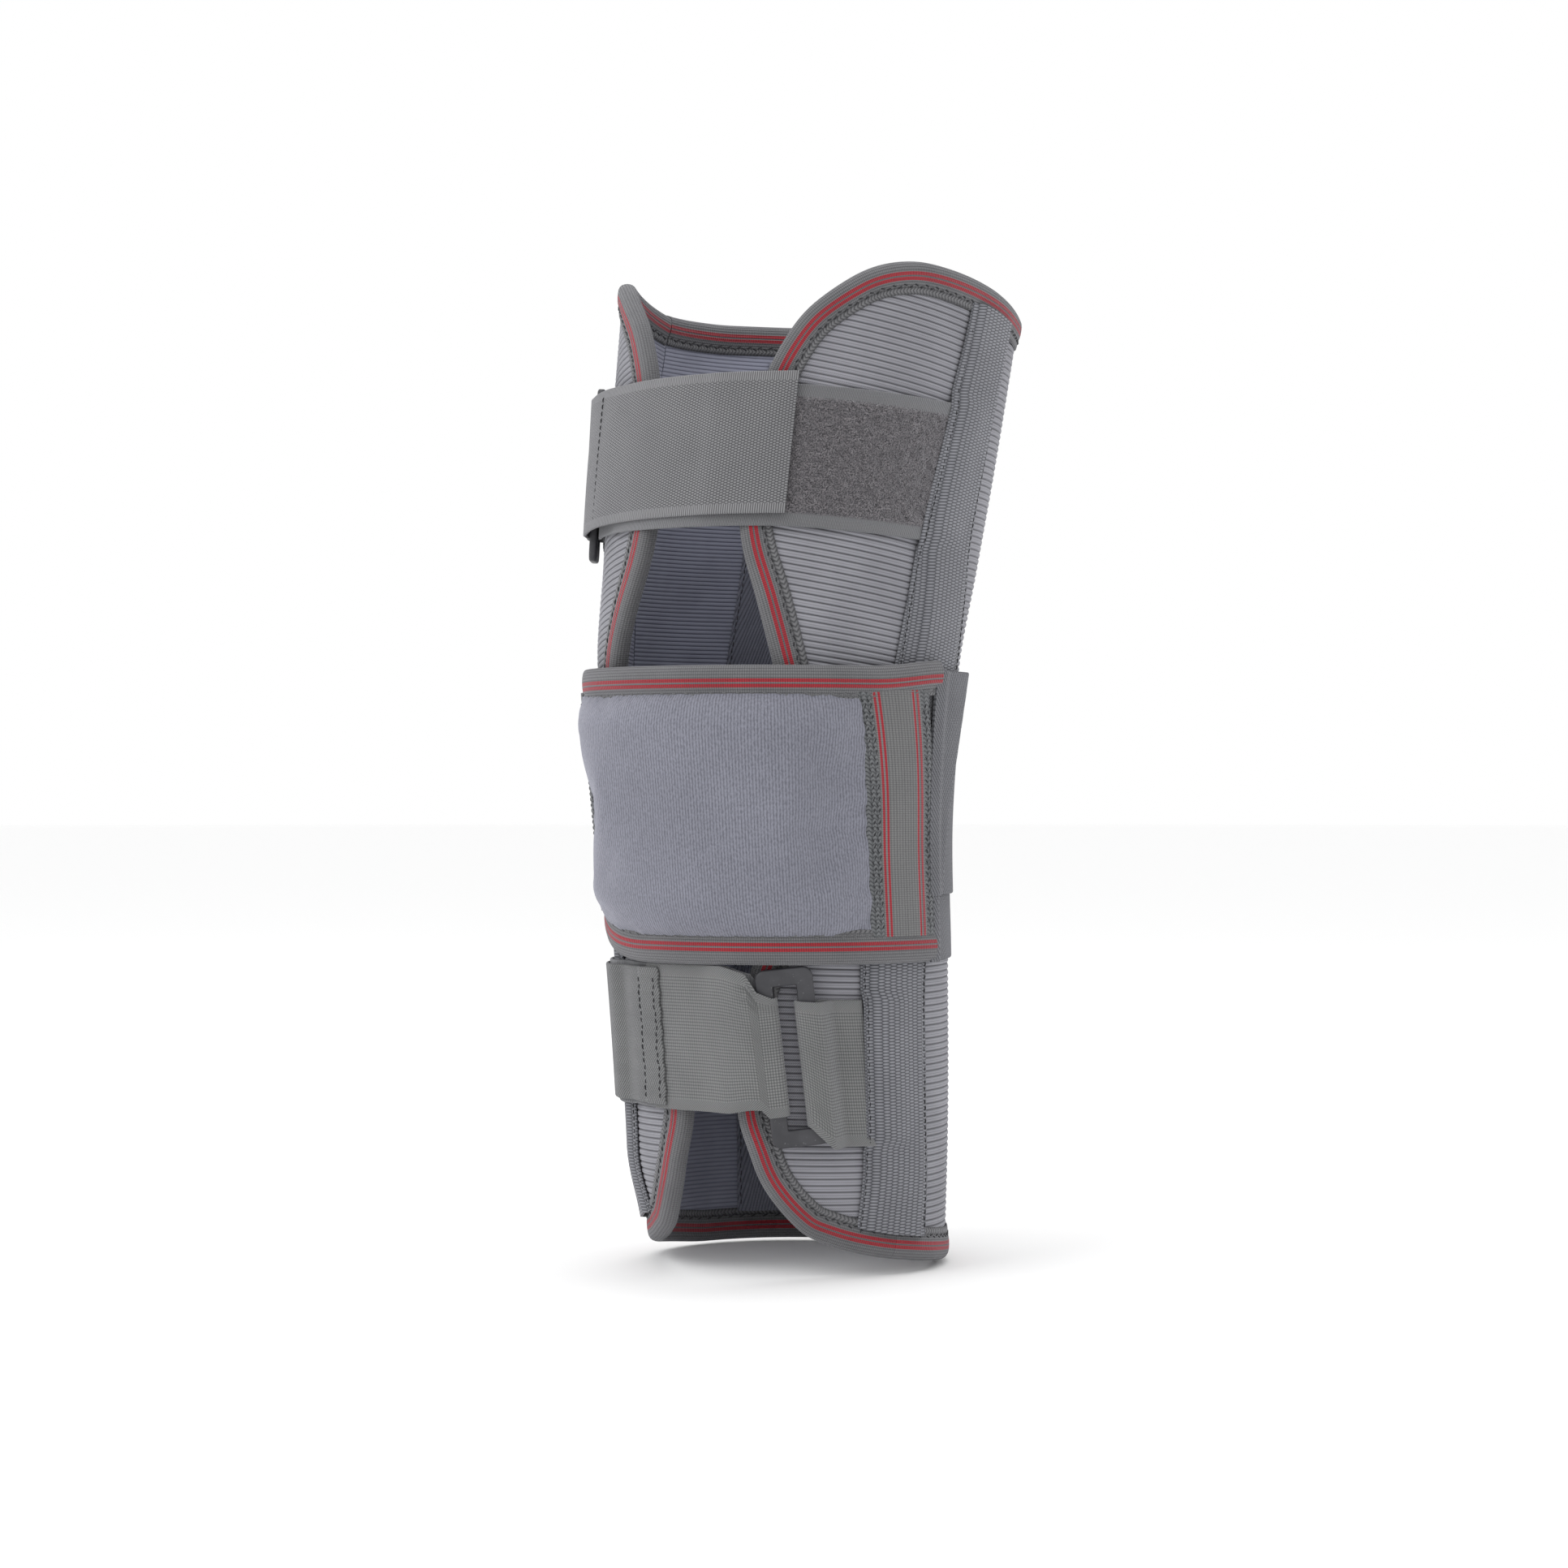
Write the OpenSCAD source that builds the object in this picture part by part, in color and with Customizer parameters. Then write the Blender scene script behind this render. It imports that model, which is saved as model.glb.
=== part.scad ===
// Long knee brace (knee immobiliser): a ribbed laminate wrap with a front opening, bound edges,
// side and rear splints in sewn pockets, a patella pad on an elastic knee band, and two
// 50 mm straps that each fold back through a plastic ring.
//
// Frame: +Z up the leg, the front opening faces -Y, +X is the wearer's left hand side.
// Surface points are given by an angle t round the leg (0 at the front, positive towards +X),
// a height z, and a distance d out from the laminate's outer face.

/* [Wrap] */
// Height of the brace, from the bottom binding to the highest point of the top edge
brace_h = 366; // [330:1:400]
// Girth against the medium size
girth = 1; // [0.9:0.01:1.15]
// Thickness of the ribbed foam laminate
laminate_t = 4; // [3:0.5:5]
// How far the lower front corners curl in towards the shin
corner_tuck = 8; // [0:1:10]

/* [Edge binding] */
// Width of the folded binding on each face
binding_w = 9.5; // [7:0.5:12]
// Thickness of the binding tape
binding_t = 1; // [0.8:0.1:1.2]

/* [Splints and pockets] */
// Width of an aluminium splint
splint_w = 20; // [15:1:22]
// Thickness of an aluminium splint
splint_t = 1.8; // [1.5:0.1:2]
// Thickness of the woven pocket tape
tape_t = 1; // [0.8:0.1:1.2]

/* [Straps] */
// Width of the straps
strap_w = 51; // [48:0.5:51]
// Thickness of a strap layer
strap_t = 1.2; // [1:0.1:1.3]

/* [Rings] */
// Outer width of a strap ring
ring_w = 18.4; // [18:0.2:20]
// Outer height of a strap ring
ring_h = 64.5; // [64:0.5:66]
// Width of a ring's bars
ring_bar = 6.2; // [6:0.1:6.4]
// Thickness of a strap ring
ring_t = 2.8; // [2.4:0.1:2.8]

/* [Patella pad] */
// Thickness of the foam under the pad's cover, at its middle
foam_t = 6; // [4:0.5:8]
// Thickness of the pad's cover and lining
cover_t = 1; // [0.8:0.1:1.2]

/* [Hidden] */

nominal_h = 366;
zs = brace_h / nominal_h;
gap = 0.3;             // air between neighbouring soft layers
splint_lay = 0.4;      // air under a side splint, which lies flatter than the cloth
col_step = 8;          // angle between the columns of a surface mesh

// Where the leg form sits along Y, so that the model's box is centred on the origin.
centre_y = -18.4;

// The leg form, as [height, value] points at the nominal size: half width, half depth
// and the middle of the section along Y.
half_width = [[0, 57], [52, 58.5], [110, 60], [165, 62], [221, 66], [257, 68], [300, 70.5], [362, 73]];
half_depth = [[0, 57.5], [52, 59.5], [110, 62], [165, 64], [221, 71.5], [257, 76], [300, 80.5], [362, 85.5]];
middle_y = [[0, 9.5], [52, 9], [110, 5], [165, -1], [221, -0.6], [257, 8.5], [300, 19], [348, 31], [362, 34]];

// The cut of the front edges, [height, angle], and of the top and bottom edges, [angle, height].
front_edge = [[14, 35], [22, 26], [33, 18], [44, 14], [58, 10], [85, 11], [112, 18], [140, 31], [165, 36],
              [190, 35], [221, 29], [242, 23], [257, 18], [269, 15.5], [285, 14.5], [300, 15.5], [325, 20],
              [340, 25.5], [347, 29.5], [351, 33]];
top_edge = [[33, 351], [37, 355.4], [46, 362.6], [58, 366], [70, 364.8], [88, 360.6]];
top_edge_right = [[112, 354.6], [125, 355.5], [141, 358.6], [180, 361]];
top_edge_left = [[112, 359.8], [125, 360.4], [141, 360.8], [180, 361]];
bottom_edge = [[35, 14], [48, 9.3], [65, 5.4], [82, 3], [100, 1], [112, 0], [180, 0]];

// The middle of the right side tape, [height, angle], its half width along the surface,
// and how much further forward the left one runs.
side_tape_at = [[0, 71], [100, 70], [160, 77], [221, 87], [266, 84], [340, 90], [362, 91]];
side_tape_half = [[0, 15.8], [110, 15.8], [221, 21], [266, 16.5], [362, 15]];
left_lead = [[0, 9], [90, 8], [150, 0], [362, 0]];
rear_tape_at = 142;
rear_tape_half = 15;

band_t = 1.2;
band_layer = 1.8;
tape_rise = splint_t + tape_t + 2 * gap;
flap_end = 0.4;        // the laminate stops this far inside its binding's fold

pad_z = [113.6, 218];  // heights of the pad's lower and upper edges
pad_end = 84;          // angle of the pad's ends
pad_hem_w = 9.5;
pad_side_hem = 58;     // angle where the foam ends and a side hem starts
pad_base = 4.6;
left_rise = 9;         // the pad's left end is this much higher at its lower edge
knee_band_from = 91;

// The rings' places: angle, height, turn in the surface, and distance out to the mid plane.
upper_ring_at = [-58.5, 293.6, 0, 3.9];
lower_ring_at = [30.3, 80.1, -6.5, 4.9];
ring_slot = ring_w - 2 * ring_bar;
loop_clear = 2.2;      // half the inner height of a loop round a ring's bar
loop_h = loop_clear + strap_t;
fold_start = ring_slot / 2 - gap - strap_t;
loop_end = ring_w / 2 + 0.6;
base_start = loop_end + 0.7;
tail_start = loop_end + 1.5;

// The middle lines of the straps, [angle, height].
upper_base_z = [[-50, 293.6], [0, 293.8], [30, 293.6], [72, 290.2]];
upper_tail_z = [[-50, 293.7], [-36, 296.3], [0, 297.8], [30, 298.2]];
lower_strap_z = [[-80, 85.5], [-20, 86], [6, 85.5], [20, 80.4]];
upper_tail_end = 28.5;
lower_tail_end = -22;
hook_tab_span = [-76, -15];
lower_anchor = -80;

// ---- Curves and the leg's surface ----

function clamp01(x) = min(max(x, 0), 1);
function ease(x) = let (c = clamp01(x)) c * c * (3 - 2 * c);
function span(pts, x, i = 0) = (i >= len(pts) - 2 || x < pts[i + 1][0]) ? i : span(pts, x, i + 1);
function slope_at(pts, i) =
    let (lo = max(i - 1, 0), hi = min(i + 1, len(pts) - 1))
    (pts[hi][1] - pts[lo][1]) / (pts[hi][0] - pts[lo][0]);
// A smooth curve through [x, y] points, flat beyond its ends.
function curve(pts, x0) =
    let (x = min(max(x0, pts[0][0]), pts[len(pts) - 1][0]), i = span(pts, x),
         w = pts[i + 1][0] - pts[i][0], u = (x - pts[i][0]) / w,
         m0 = slope_at(pts, i) * w, m1 = slope_at(pts, i + 1) * w)
    (2 * u * u * u - 3 * u * u + 1) * pts[i][1] + (u * u * u - 2 * u * u + u) * m0
    + (3 * u * u - 2 * u * u * u) * pts[i + 1][1] + (u * u * u - u * u) * m1;

function nominal(z) = z / zs;
function half_x(z) = girth * curve(half_width, nominal(z));
function half_y(z) = girth * curve(half_depth, nominal(z));
function mid_y(z) = girth * curve(middle_y, nominal(z));
function radius(z) = sqrt(half_x(z) * half_y(z));
// Angle that an arc of the surface takes at a height.
function arc(mm, z) = mm / radius(z) * 180 / PI;
function from_front(t) = abs(t) > 180 ? 360 - abs(t) : abs(t);
function tuck(t, z) = corner_tuck * ease((42 - nominal(z)) / 42) * ease((95 - from_front(t)) / 50);
function normal(t, z) =
    let (n = [sin(t) / half_x(z), -cos(t) / half_y(z), 0]) n / norm(n);
function leg(t, z, d) =
    [half_x(z) * sin(t), mid_y(z) - half_y(z) * cos(t), z] + (d - tuck(t, z)) * normal(t, z);

// Where the laminate's edges lie, one thickness of binding inside the outline.
function edge_t(z) = curve(front_edge, nominal(z)) + arc(binding_t, z);
function top_z(t) =
    let (edge = concat(top_edge, t < 0 || t > 180 ? top_edge_left : top_edge_right))
        zs * curve(edge, from_front(t)) - binding_t;
function bottom_z(t) = zs * max(curve(bottom_edge, from_front(t)), 0) + binding_t;
function side_t(z, side) =
    side * (curve(side_tape_at, nominal(z)) - (side < 0 ? curve(left_lead, nominal(z)) : 0));
function side_half(z) = arc(curve(side_tape_half, nominal(z)), z);
// How far the side tapes lift what lies over them, with eased shoulders.
function over_tape(t, z) =
    let (side = t < 0 ? -1 : 1, c = side_t(z, side), away = abs(t - c) - side_half(z))
    abs(t) > 150 ? 0 : tape_rise * ease(1 - away / 7);

// ---- Mesh builders ----

// A closed skin between two offsets of the leg's surface. Each cell of g is [t, z, d_in, d_out],
// with t rising along a row and z rising from row to row.
module skin(g) {
    n = len(g);
    m = len(g[0]);
    pts = concat([for (r = g, c = r) leg(c[0], c[1], c[3])], [for (r = g, c = r) leg(c[0], c[1], c[2])]);
    function o(i, j) = i * m + j;
    function q(i, j) = n * m + i * m + j;
    faces = concat(
        [for (i = [0:n - 2], j = [0:m - 2]) each [
            [o(i, j), o(i + 1, j), o(i + 1, j + 1)], [o(i, j), o(i + 1, j + 1), o(i, j + 1)],
            [q(i, j), q(i + 1, j + 1), q(i + 1, j)], [q(i, j), q(i, j + 1), q(i + 1, j + 1)]]],
        [for (j = [0:m - 2]) each [
            [o(0, j), o(0, j + 1), q(0, j + 1)], [o(0, j), q(0, j + 1), q(0, j)],
            [o(n - 1, j + 1), o(n - 1, j), q(n - 1, j)], [o(n - 1, j + 1), q(n - 1, j), q(n - 1, j + 1)]]],
        [for (i = [0:n - 2]) each [
            [o(i + 1, 0), o(i, 0), q(i, 0)], [o(i + 1, 0), q(i, 0), q(i + 1, 0)],
            [o(i, m - 1), o(i + 1, m - 1), q(i + 1, m - 1)], [o(i, m - 1), q(i + 1, m - 1), q(i, m - 1)]]]);
    polyhedron(points = pts, faces = faces, convexity = 8);
}

// The cells of a skin on the other side of the leg, in the same order round it.
function mirrored(g) = [for (r = g) [for (j = [len(r) - 1:-1:0]) [-r[j][0], r[j][1], r[j][2], r[j][3]]]];

// Angles from a to b: both ends, and every whole column between them.
function columns(a, b) = concat([a],
    [for (k = [ceil((a + 1.5) / col_step):floor((b - 1.5) / col_step)]) k * col_step], [b]);
function spaced(a, b, n) = [for (i = [0:n]) a + (b - a) * i / n];

// A tape folded in a U over an edge. path holds the edge's points, [t, z], with the cloth on
// its left as seen from outside.
module folded_binding(path) {
    last = len(path) - 1;
    inner = -laminate_t;
    outer = gap + binding_t;
    ring = [[binding_w, outer], [-binding_t, outer], [-binding_t, inner - outer], [binding_w, inner - outer],
            [binding_w, inner - gap], [-0.1, inner - gap], [-0.1, gap], [binding_w, gap]];
    k = len(ring);
    pts = [for (i = [0:last]) let (
        p = path[i], r = radius(p[1]) * PI / 180,
        step = path[min(i + 1, last)] - path[max(i - 1, 0)],
        along = [step[0] * r, step[1]] / norm([step[0] * r, step[1]]),
        inward = [-along[1], along[0]])
        each [for (s = ring) leg(p[0] + s[0] * inward[0] / r, p[1] + s[0] * inward[1], s[1])]];
    function at(i, j) = i * k + j % k;
    faces = concat(
        [for (i = [0:last - 1], j = [0:k - 1]) each [
            [at(i, j), at(i + 1, j), at(i + 1, j + 1)], [at(i, j), at(i + 1, j + 1), at(i, j + 1)]]],
        [for (c = [[0, 1, 6, 7], [1, 2, 5, 6], [2, 3, 4, 5]]) each [
            [c[0], c[1], c[2]], [c[0], c[2], c[3]],
            [at(last, c[0]), at(last, c[2]), at(last, c[1])],
            [at(last, c[0]), at(last, c[3]), at(last, c[2])]]]);
    polyhedron(points = pts, faces = faces, convexity = 8);
}

// Children drawn flat on the surface: local X runs round the leg, -Y points out, Z runs up.
module on_leg(frame) {
    t = frame[0];
    z = frame[1] * zs;
    n = normal(t, z);
    rise = leg(t, z + 20, 0) - leg(t, z - 20, 0);
    translate(leg(t, z, 0))
        rotate([0, 0, atan2(n[0], -n[1])])
            rotate([atan2(rise * n, rise[2]), 0, 0])
                rotate([0, frame[2], 0])
                    children();
}

// ---- The wrap ----

module front_panel(side) {
    rows = concat(spaced(0, 0.12, 4), [for (v = spaced(0.12, 0.88, 17)) if (v > 0.125) v],
                  [for (v = spaced(0.88, 1, 5)) if (v > 0.885) v]);
    cols = spaced(0, 1, 8);
    low_z = 14.4 * zs;
    high_z = 350.6 * zs;
    right = [for (v = rows) let (z_edge = low_z + (high_z - low_z) * v, z_seam = brace_h * v,
                                 seam = abs(side_t(z_seam, side)) - arc(gap, z_seam),
                                 edge = edge_t(z_edge) + arc(flap_end, z_edge))
        [for (u = cols) let (t = edge + (seam - edge) * u,
                             lo = bottom_z(t) + flap_end, hi = top_z(t) - flap_end)
            [t, lo + (hi - lo) * v, -laminate_t, 0]]];
    skin(side > 0 ? right : mirrored(right));
}

module back_panel() {
    color("slategray")
        skin([for (v = spaced(0, 1, 19)) let (
                z0 = brace_h * v, from = side_t(z0, 1) + arc(gap, z0),
                to = 360 + side_t(z0, -1) - arc(gap, z0))
            [for (t = spaced(from, to, 25)) let (lo = bottom_z(t) + flap_end, hi = top_z(t) - flap_end)
                [t, lo + (hi - lo) * v, -laminate_t, 0]]]);
}

module right_front_panel() { color("slategray") front_panel(1); }
module left_front_panel() { color("slategray") front_panel(-1); }

module edge_binding(side) {
    stop_top = abs(side_t(brace_h, side));
    stop_low = abs(side_t(0, side));
    edge = concat(
        [for (t = spaced(stop_top, 36, 9)) [t, top_z(t)]],
        [for (z = concat(spaced(351, 325, 5), spaced(317, 120, 22), spaced(112, 44, 8), spaced(38, 14, 5)))
            [edge_t(z * zs), z * zs]],
        [for (t = spaced(38, stop_low, 5)) [t, bottom_z(t)]]);
    path = [for (p = edge) [side * p[0], p[1]]];
    folded_binding(side > 0 ? path : [for (i = [len(path) - 1:-1:0]) path[i]]);
}

module right_edge_binding() { color("dimgray") edge_binding(1); }
module left_edge_binding() { color("dimgray") edge_binding(-1); }

module top_rear_binding() {
    from = abs(side_t(brace_h, 1)) + 0.5;
    to = 360 - abs(side_t(brace_h, -1)) - 0.5;
    color("dimgray")
        folded_binding([for (t = spaced(to, from, 26)) [t, top_z(t)]]);
}

// The rear of the bottom binding stands on the floor, so its fold is flat underneath.
module bottom_rear_binding() {
    from = abs(side_t(0, 1)) + 0.5;
    to = 360 - abs(side_t(0, -1)) - 0.5;
    flat_from = 112;
    side_end = flat_from - 0.4;
    inner = -laminate_t - gap - binding_t;
    outer = gap + binding_t;
    face = gap + 0.1;
    function flat(t, d) = let (p = leg(t, binding_w / 2, d)) [p[0], p[1]];
    module sector(d0, d1) {
        angles = spaced(flat_from, 360 - flat_from, 22);
        polygon(concat([for (t = angles) flat(t, d0)],
                       [for (i = [len(angles) - 1:-1:0]) flat(angles[i], d1)]));
    }
    color("dimgray") {
        linear_extrude(height = binding_t) sector(inner, outer);
        linear_extrude(height = binding_w) sector(face, outer);
        linear_extrude(height = binding_w) sector(inner, -laminate_t - face);
        folded_binding([for (t = spaced(from, side_end, 5)) [t, bottom_z(t)]]);
        folded_binding([for (t = spaced(360 - side_end, to, 5)) [t, bottom_z(t)]]);
    }
}

// ---- Splints and their pockets ----

module splint(from_z, to_z, at, half, d0) {
    skin([for (z = concat(spaced(from_z, 54, 5), spaced(62, to_z, 24)) * zs) let (
            c = at(z), h = arc(half, z))
        [for (u = [-1, -0.5, 0, 0.5, 1]) [c + u * h, z, d0, d0 + splint_t]]]);
}

module side_splint(side) {
    at = function (z) side_t(z, side);
    color("silver") splint(24, 336, at, splint_w / 2, splint_lay);
}

module right_side_splint() { side_splint(1); }
module left_side_splint() { side_splint(-1); }

// Angles across a tape of half width h from its middle: its edges and the shoulders beside a
// splint of half width s.
function tape_columns(h, s, z) =
    let (foot = s + arc(3.4, z), shoulder = s + arc(0.6, z))
    [-h, -foot, -shoulder, 0, shoulder, foot, h];

// A woven tape sewn down along both edges, with room for a splint under its middle.
module side_tape(side) {
    lift = splint_t + splint_lay;
    low = bottom_z(side_t(0, side)) + binding_w;
    high = top_z(side_t(brace_h, side)) - binding_w;
    color("gray")
        skin([for (v = concat(spaced(0, 0.12, 6), spaced(0.15, 1, 24))) let (
                z0 = low + (high - low) * v, c = side_t(z0, side),
                s = arc(splint_w / 2, z0))
            [for (k = tape_columns(side_half(z0), s, z0)) let (
                    t = c + k, lo = bottom_z(t) + binding_w + 0.6, hi = top_z(t) - binding_w - 0.6,
                    d = gap + (abs(k) < s + arc(1, z0) ? lift : 0))
                [t, lo + (hi - lo) * v, d, d + tape_t]]]);
}

module right_side_tape() { side_tape(1); }
module left_side_tape() { side_tape(-1); }

module rear_splint(side) {
    at = function (z) 180 - side * (180 - rear_tape_at);
    color("silver") splint(24, 336, at, splint_w / 2, -laminate_t - gap - splint_t);
}

module right_rear_splint() { rear_splint(1); }
module left_rear_splint() { rear_splint(-1); }

module rear_tape(side) {
    c = 180 - side * (180 - rear_tape_at);
    low = binding_w + 2;
    color("darkslategray")
        skin([for (z = spaced(low, 344 * zs, 16)) let (
                s = arc(splint_w / 2, z))
            [for (k = tape_columns(arc(rear_tape_half, z), s, z)) let (
                    d = -laminate_t - gap - (abs(k) < s + arc(1, z) ? splint_t + gap : 0))
                [c + k, z, d - tape_t, d]]]);
}

module right_rear_tape() { rear_tape(1); }
module left_rear_tape() { rear_tape(-1); }

// ---- The elastic knee bands behind the pad ----

module knee_band(z0, z1, d) {
    color("gray")
        skin([for (z = spaced(z0 * zs, z1 * zs, 8))
            [for (t = columns(knee_band_from, 360 - knee_band_from)) let (
                    near = t > 180 ? t - 360 : t, base = gap + d + over_tape(near, z))
                [t, z, base, base + band_t]]]);
}

module lower_knee_band() { knee_band(112.5, 192, 0); }
module upper_knee_band() { knee_band(136.5, 218, band_layer); }

// ---- The patella pad ----

function pad_low(t) = zs * (pad_z[0] + left_rise * ease((-t - 20) / 50));
function pad_high(t) = zs * pad_z[1];
function crown(t, v) =
    let (across = ease((pad_side_hem - abs(t)) / 16), up = ease(v / 0.16) * ease((1 - v) / 0.16))
    across * up;

// A patch of the pad between heights v0 and v1 (0 at its lower edge, 1 at its upper edge).
module pad_skin(angles, v0, v1, rows, d_in, d_out) {
    skin([for (v = spaced(v0, v1, rows))
        [for (t = angles) let (z = pad_low(t) + (pad_high(t) - pad_low(t)) * v)
            [t, z, d_in(t, v), d_out(t, v)]]]);
}

pad_mid = concat([-pad_side_hem], columns(-56, 56), [pad_side_hem]);
hem_v = pad_hem_w / (pad_z[1] - pad_z[0]);
foam_edge = 0.8;

module pad_lining() {
    color("dimgray") pad_skin(columns(-pad_end, pad_end), hem_v, 1 - hem_v, 5,
        function (t, v) pad_base, function (t, v) pad_base + cover_t);
}

function foam_top(t, v) = pad_base + cover_t + gap + foam_edge + (foam_t - foam_edge) * crown(t, v);

module pad_foam() {
    color("lightgray") pad_skin(pad_mid, hem_v + 0.005, 1 - hem_v - 0.005, 12,
        function (t, v) pad_base + cover_t + gap, function (t, v) foam_top(t, v));
}

module pad_cover() {
    color("lightslategray") pad_skin(pad_mid, hem_v + 0.005, 1 - hem_v - 0.005, 12,
        function (t, v) foam_top(t, v) + gap, function (t, v) foam_top(t, v) + gap + cover_t);
}

module pad_hem(v0, v1) {
    color("dimgray") pad_skin(columns(-pad_end, pad_end), v0, v1, 2,
        function (t, v) pad_base - 0.6, function (t, v) pad_base + 3.2);
}

module pad_top_hem() { pad_hem(1 - hem_v + 0.004, 1); }
module pad_bottom_hem() { pad_hem(0, hem_v - 0.004); }

module pad_side_hem(side) {
    angles = columns(pad_side_hem + 0.6, pad_end);
    color("dimgray") pad_skin(side > 0 ? angles : [for (i = [len(angles) - 1:-1:0]) -angles[i]],
        hem_v + 0.005, 1 - hem_v - 0.005, 5,
        function (t, v) pad_base + cover_t + gap, function (t, v) pad_base + cover_t + gap + 1.4);
}

module pad_right_hem() { pad_side_hem(1); }
module pad_left_hem() { pad_side_hem(-1); }

// The hook patch under the pad's left end, which grips the loop face of the side tape.
module pad_hook_patch() {
    color("black") pad_skin(spaced(-pad_end + 1, -66, 3), 0.2, 0.8, 3,
        function (t, v) pad_base - 0.9, function (t, v) pad_base - 0.35);
}

// ---- Rings, ring tabs and straps ----

module stadium_bar(length) {
    flat = ring_bar - ring_t;
    translate([-flat / 2, -ring_t / 2, -length / 2]) cube([flat, ring_t, length]);
    for (x = [-flat / 2, flat / 2]) translate([x, 0, -length / 2]) cylinder(d = ring_t, h = length, $fn = 32);
}

ring_inner_r = 0.2;

module ring_corner() {
    rotate_extrude(angle = 90, $fn = 48) translate([ring_inner_r, 0]) {
        translate([ring_t / 2, -ring_t / 2]) square([ring_bar - ring_t, ring_t]);
        for (x = [ring_t / 2, ring_bar - ring_t / 2]) translate([x, 0]) circle(d = ring_t, $fn = 32);
    }
}

// A rectangular strap ring in its own plane: X across, Z up.
module strap_ring() {
    cx = ring_slot / 2 - ring_inner_r;
    cz = ring_h / 2 - ring_bar - ring_inner_r;
    for (x = [-1, 1]) translate([x * (ring_w - ring_bar) / 2, 0, 0]) stadium_bar(2 * cz);
    for (z = [-1, 1]) translate([0, 0, z * (ring_h - ring_bar) / 2]) rotate([0, 90, 0])
        stadium_bar(2 * cx);
    for (a = [0:3]) let (sx = (a == 0 || a == 3) ? 1 : -1, sz = a < 2 ? 1 : -1)
        translate([sx * cx, 0, sz * cz]) rotate([90, 0, 0]) rotate([0, 0, 90 * a])
            ring_corner();
}

// The U of webbing round one bar, drawn flat: its bend lies in the slot and its two layers run
// out past the bar to x = loop_end.
module loop_outline(end) {
    difference() {
        union() {
            translate([fold_start + loop_h, -loop_h]) square([end - fold_start - loop_h, 2 * loop_h]);
            translate([fold_start + loop_h, 0]) circle(r = loop_h, $fn = 48);
        }
        translate([fold_start + loop_h, -loop_clear]) square([end, 2 * loop_clear]);
        translate([fold_start + loop_h, 0]) circle(r = loop_clear, $fn = 48);
    }
}

module strap_fold(at) {
    translate([0, -at[3], -strap_w / 2]) linear_extrude(height = strap_w) loop_outline(loop_end);
}

// The tab that holds a ring: a loop round its bar, whose two layers come together and lie on
// the wrap as far as x = reach.
module ring_tab(at, width, drop, reach) {
    r = radius(at[1] * zs);
    // The wrap's surface in the ring's plane, which curves away from the ring.
    function wrap_y(x) = at[3] + x * x / (2 * r);
    meet = loop_end + 4;
    xs = spaced(meet, reach, 4);
    translate([0, -at[3], -width / 2 - drop]) linear_extrude(height = width) {
        loop_outline(loop_end);
        polygon(concat(
            [[loop_end, loop_clear]], [[meet, wrap_y(meet) - 0.45 - strap_t]], [[loop_end, -loop_clear]],
            [[loop_end, -loop_h]],
            [for (x = xs) [x, wrap_y(x) - 0.45 - 2 * strap_t]],
            [for (i = [len(xs) - 1:-1:0]) [xs[i], wrap_y(xs[i]) - 0.45]],
            [[loop_end, loop_h]]));
    }
}

module ring_on_leg(at) { on_leg(at) translate([0, -at[3], 0]) strap_ring(); }

module upper_ring() { color("black") ring_on_leg(upper_ring_at); }
module lower_ring() { color("black") ring_on_leg(lower_ring_at); }
module upper_strap_fold() { color("gray") on_leg(upper_ring_at) strap_fold(upper_ring_at); }

module lower_strap_fold() {
    color("gray") on_leg(lower_ring_at) mirror([1, 0, 0]) strap_fold(lower_ring_at);
}

module upper_ring_tab() {
    color("gray") on_leg(upper_ring_at) mirror([1, 0, 0]) ring_tab(upper_ring_at, strap_w, 0, 15);
}

module lower_ring_tab() {
    color("gray") on_leg(lower_ring_at) ring_tab(lower_ring_at, 45, 3, 23);
}

// Distance out of a strap's lower layer: it steps over the bindings beside the front opening,
// and meets the fold at its ring.
function lay(t) = 0.6 + 1.05 * ease((38 - abs(t)) / 8);
function lower_lay(t) = lay(t) + over_tape(t, lower_ring_at[1] * zs);

strap_step = 5;
// A strap layer between two angles, each a function of the height above the strap's middle.
// mid gives its middle height at an angle, half its half width and d its inner distance.
module strap_layer(mid, half, from, to, d, thick) {
    a = from(0);
    b = to(0);
    inner = [for (k = [ceil((a + 1) / strap_step):floor((b - 1) / strap_step)])
        (k * strap_step - a) / (b - a)];
    skin([for (v = [-1, 0, 1])
        [for (u = concat([0], inner, [1])) let (
                h = v * strap_w / 2, t = from(h) + (to(h) - from(h)) * u,
                z = zs * (mid(t) + half(t) * v), di = d(t))
            [t, z, di, di + thick]]]);
}

function full_half(t) = strap_w / 2;
function upper_half(t) = strap_w / 2 * (1 - 0.035 * ease(1 - abs(t - upper_ring_at[0] - 10) / 20));

// Angle at a height h above a ring's middle of a line dx to the side of its middle, parallel
// to its bars.
function beside(at, dx, h) =
    let (z = at[1] * zs, n = normal(at[0], z), rise = leg(at[0], z + 20, 0) - leg(at[0], z - 20, 0),
         drift = rise * [-n[1], n[0], 0] / rise[2])
    at[0] + arc(dx + h * (tan(at[2]) - drift), z);

module upper_strap() {
    anchor = function (h) let (z = (290 + h) * zs) side_t(z, 1) - side_half(z) - arc(0.5, z);
    color("gray") strap_layer(
        function (t) curve(upper_base_z, t), function (t) upper_half(t),
        function (h) beside(upper_ring_at, base_start, h), anchor,
        function (t) lay(t) + 0.5 * ease((-34 - t) / 12), strap_t);
}

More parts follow.
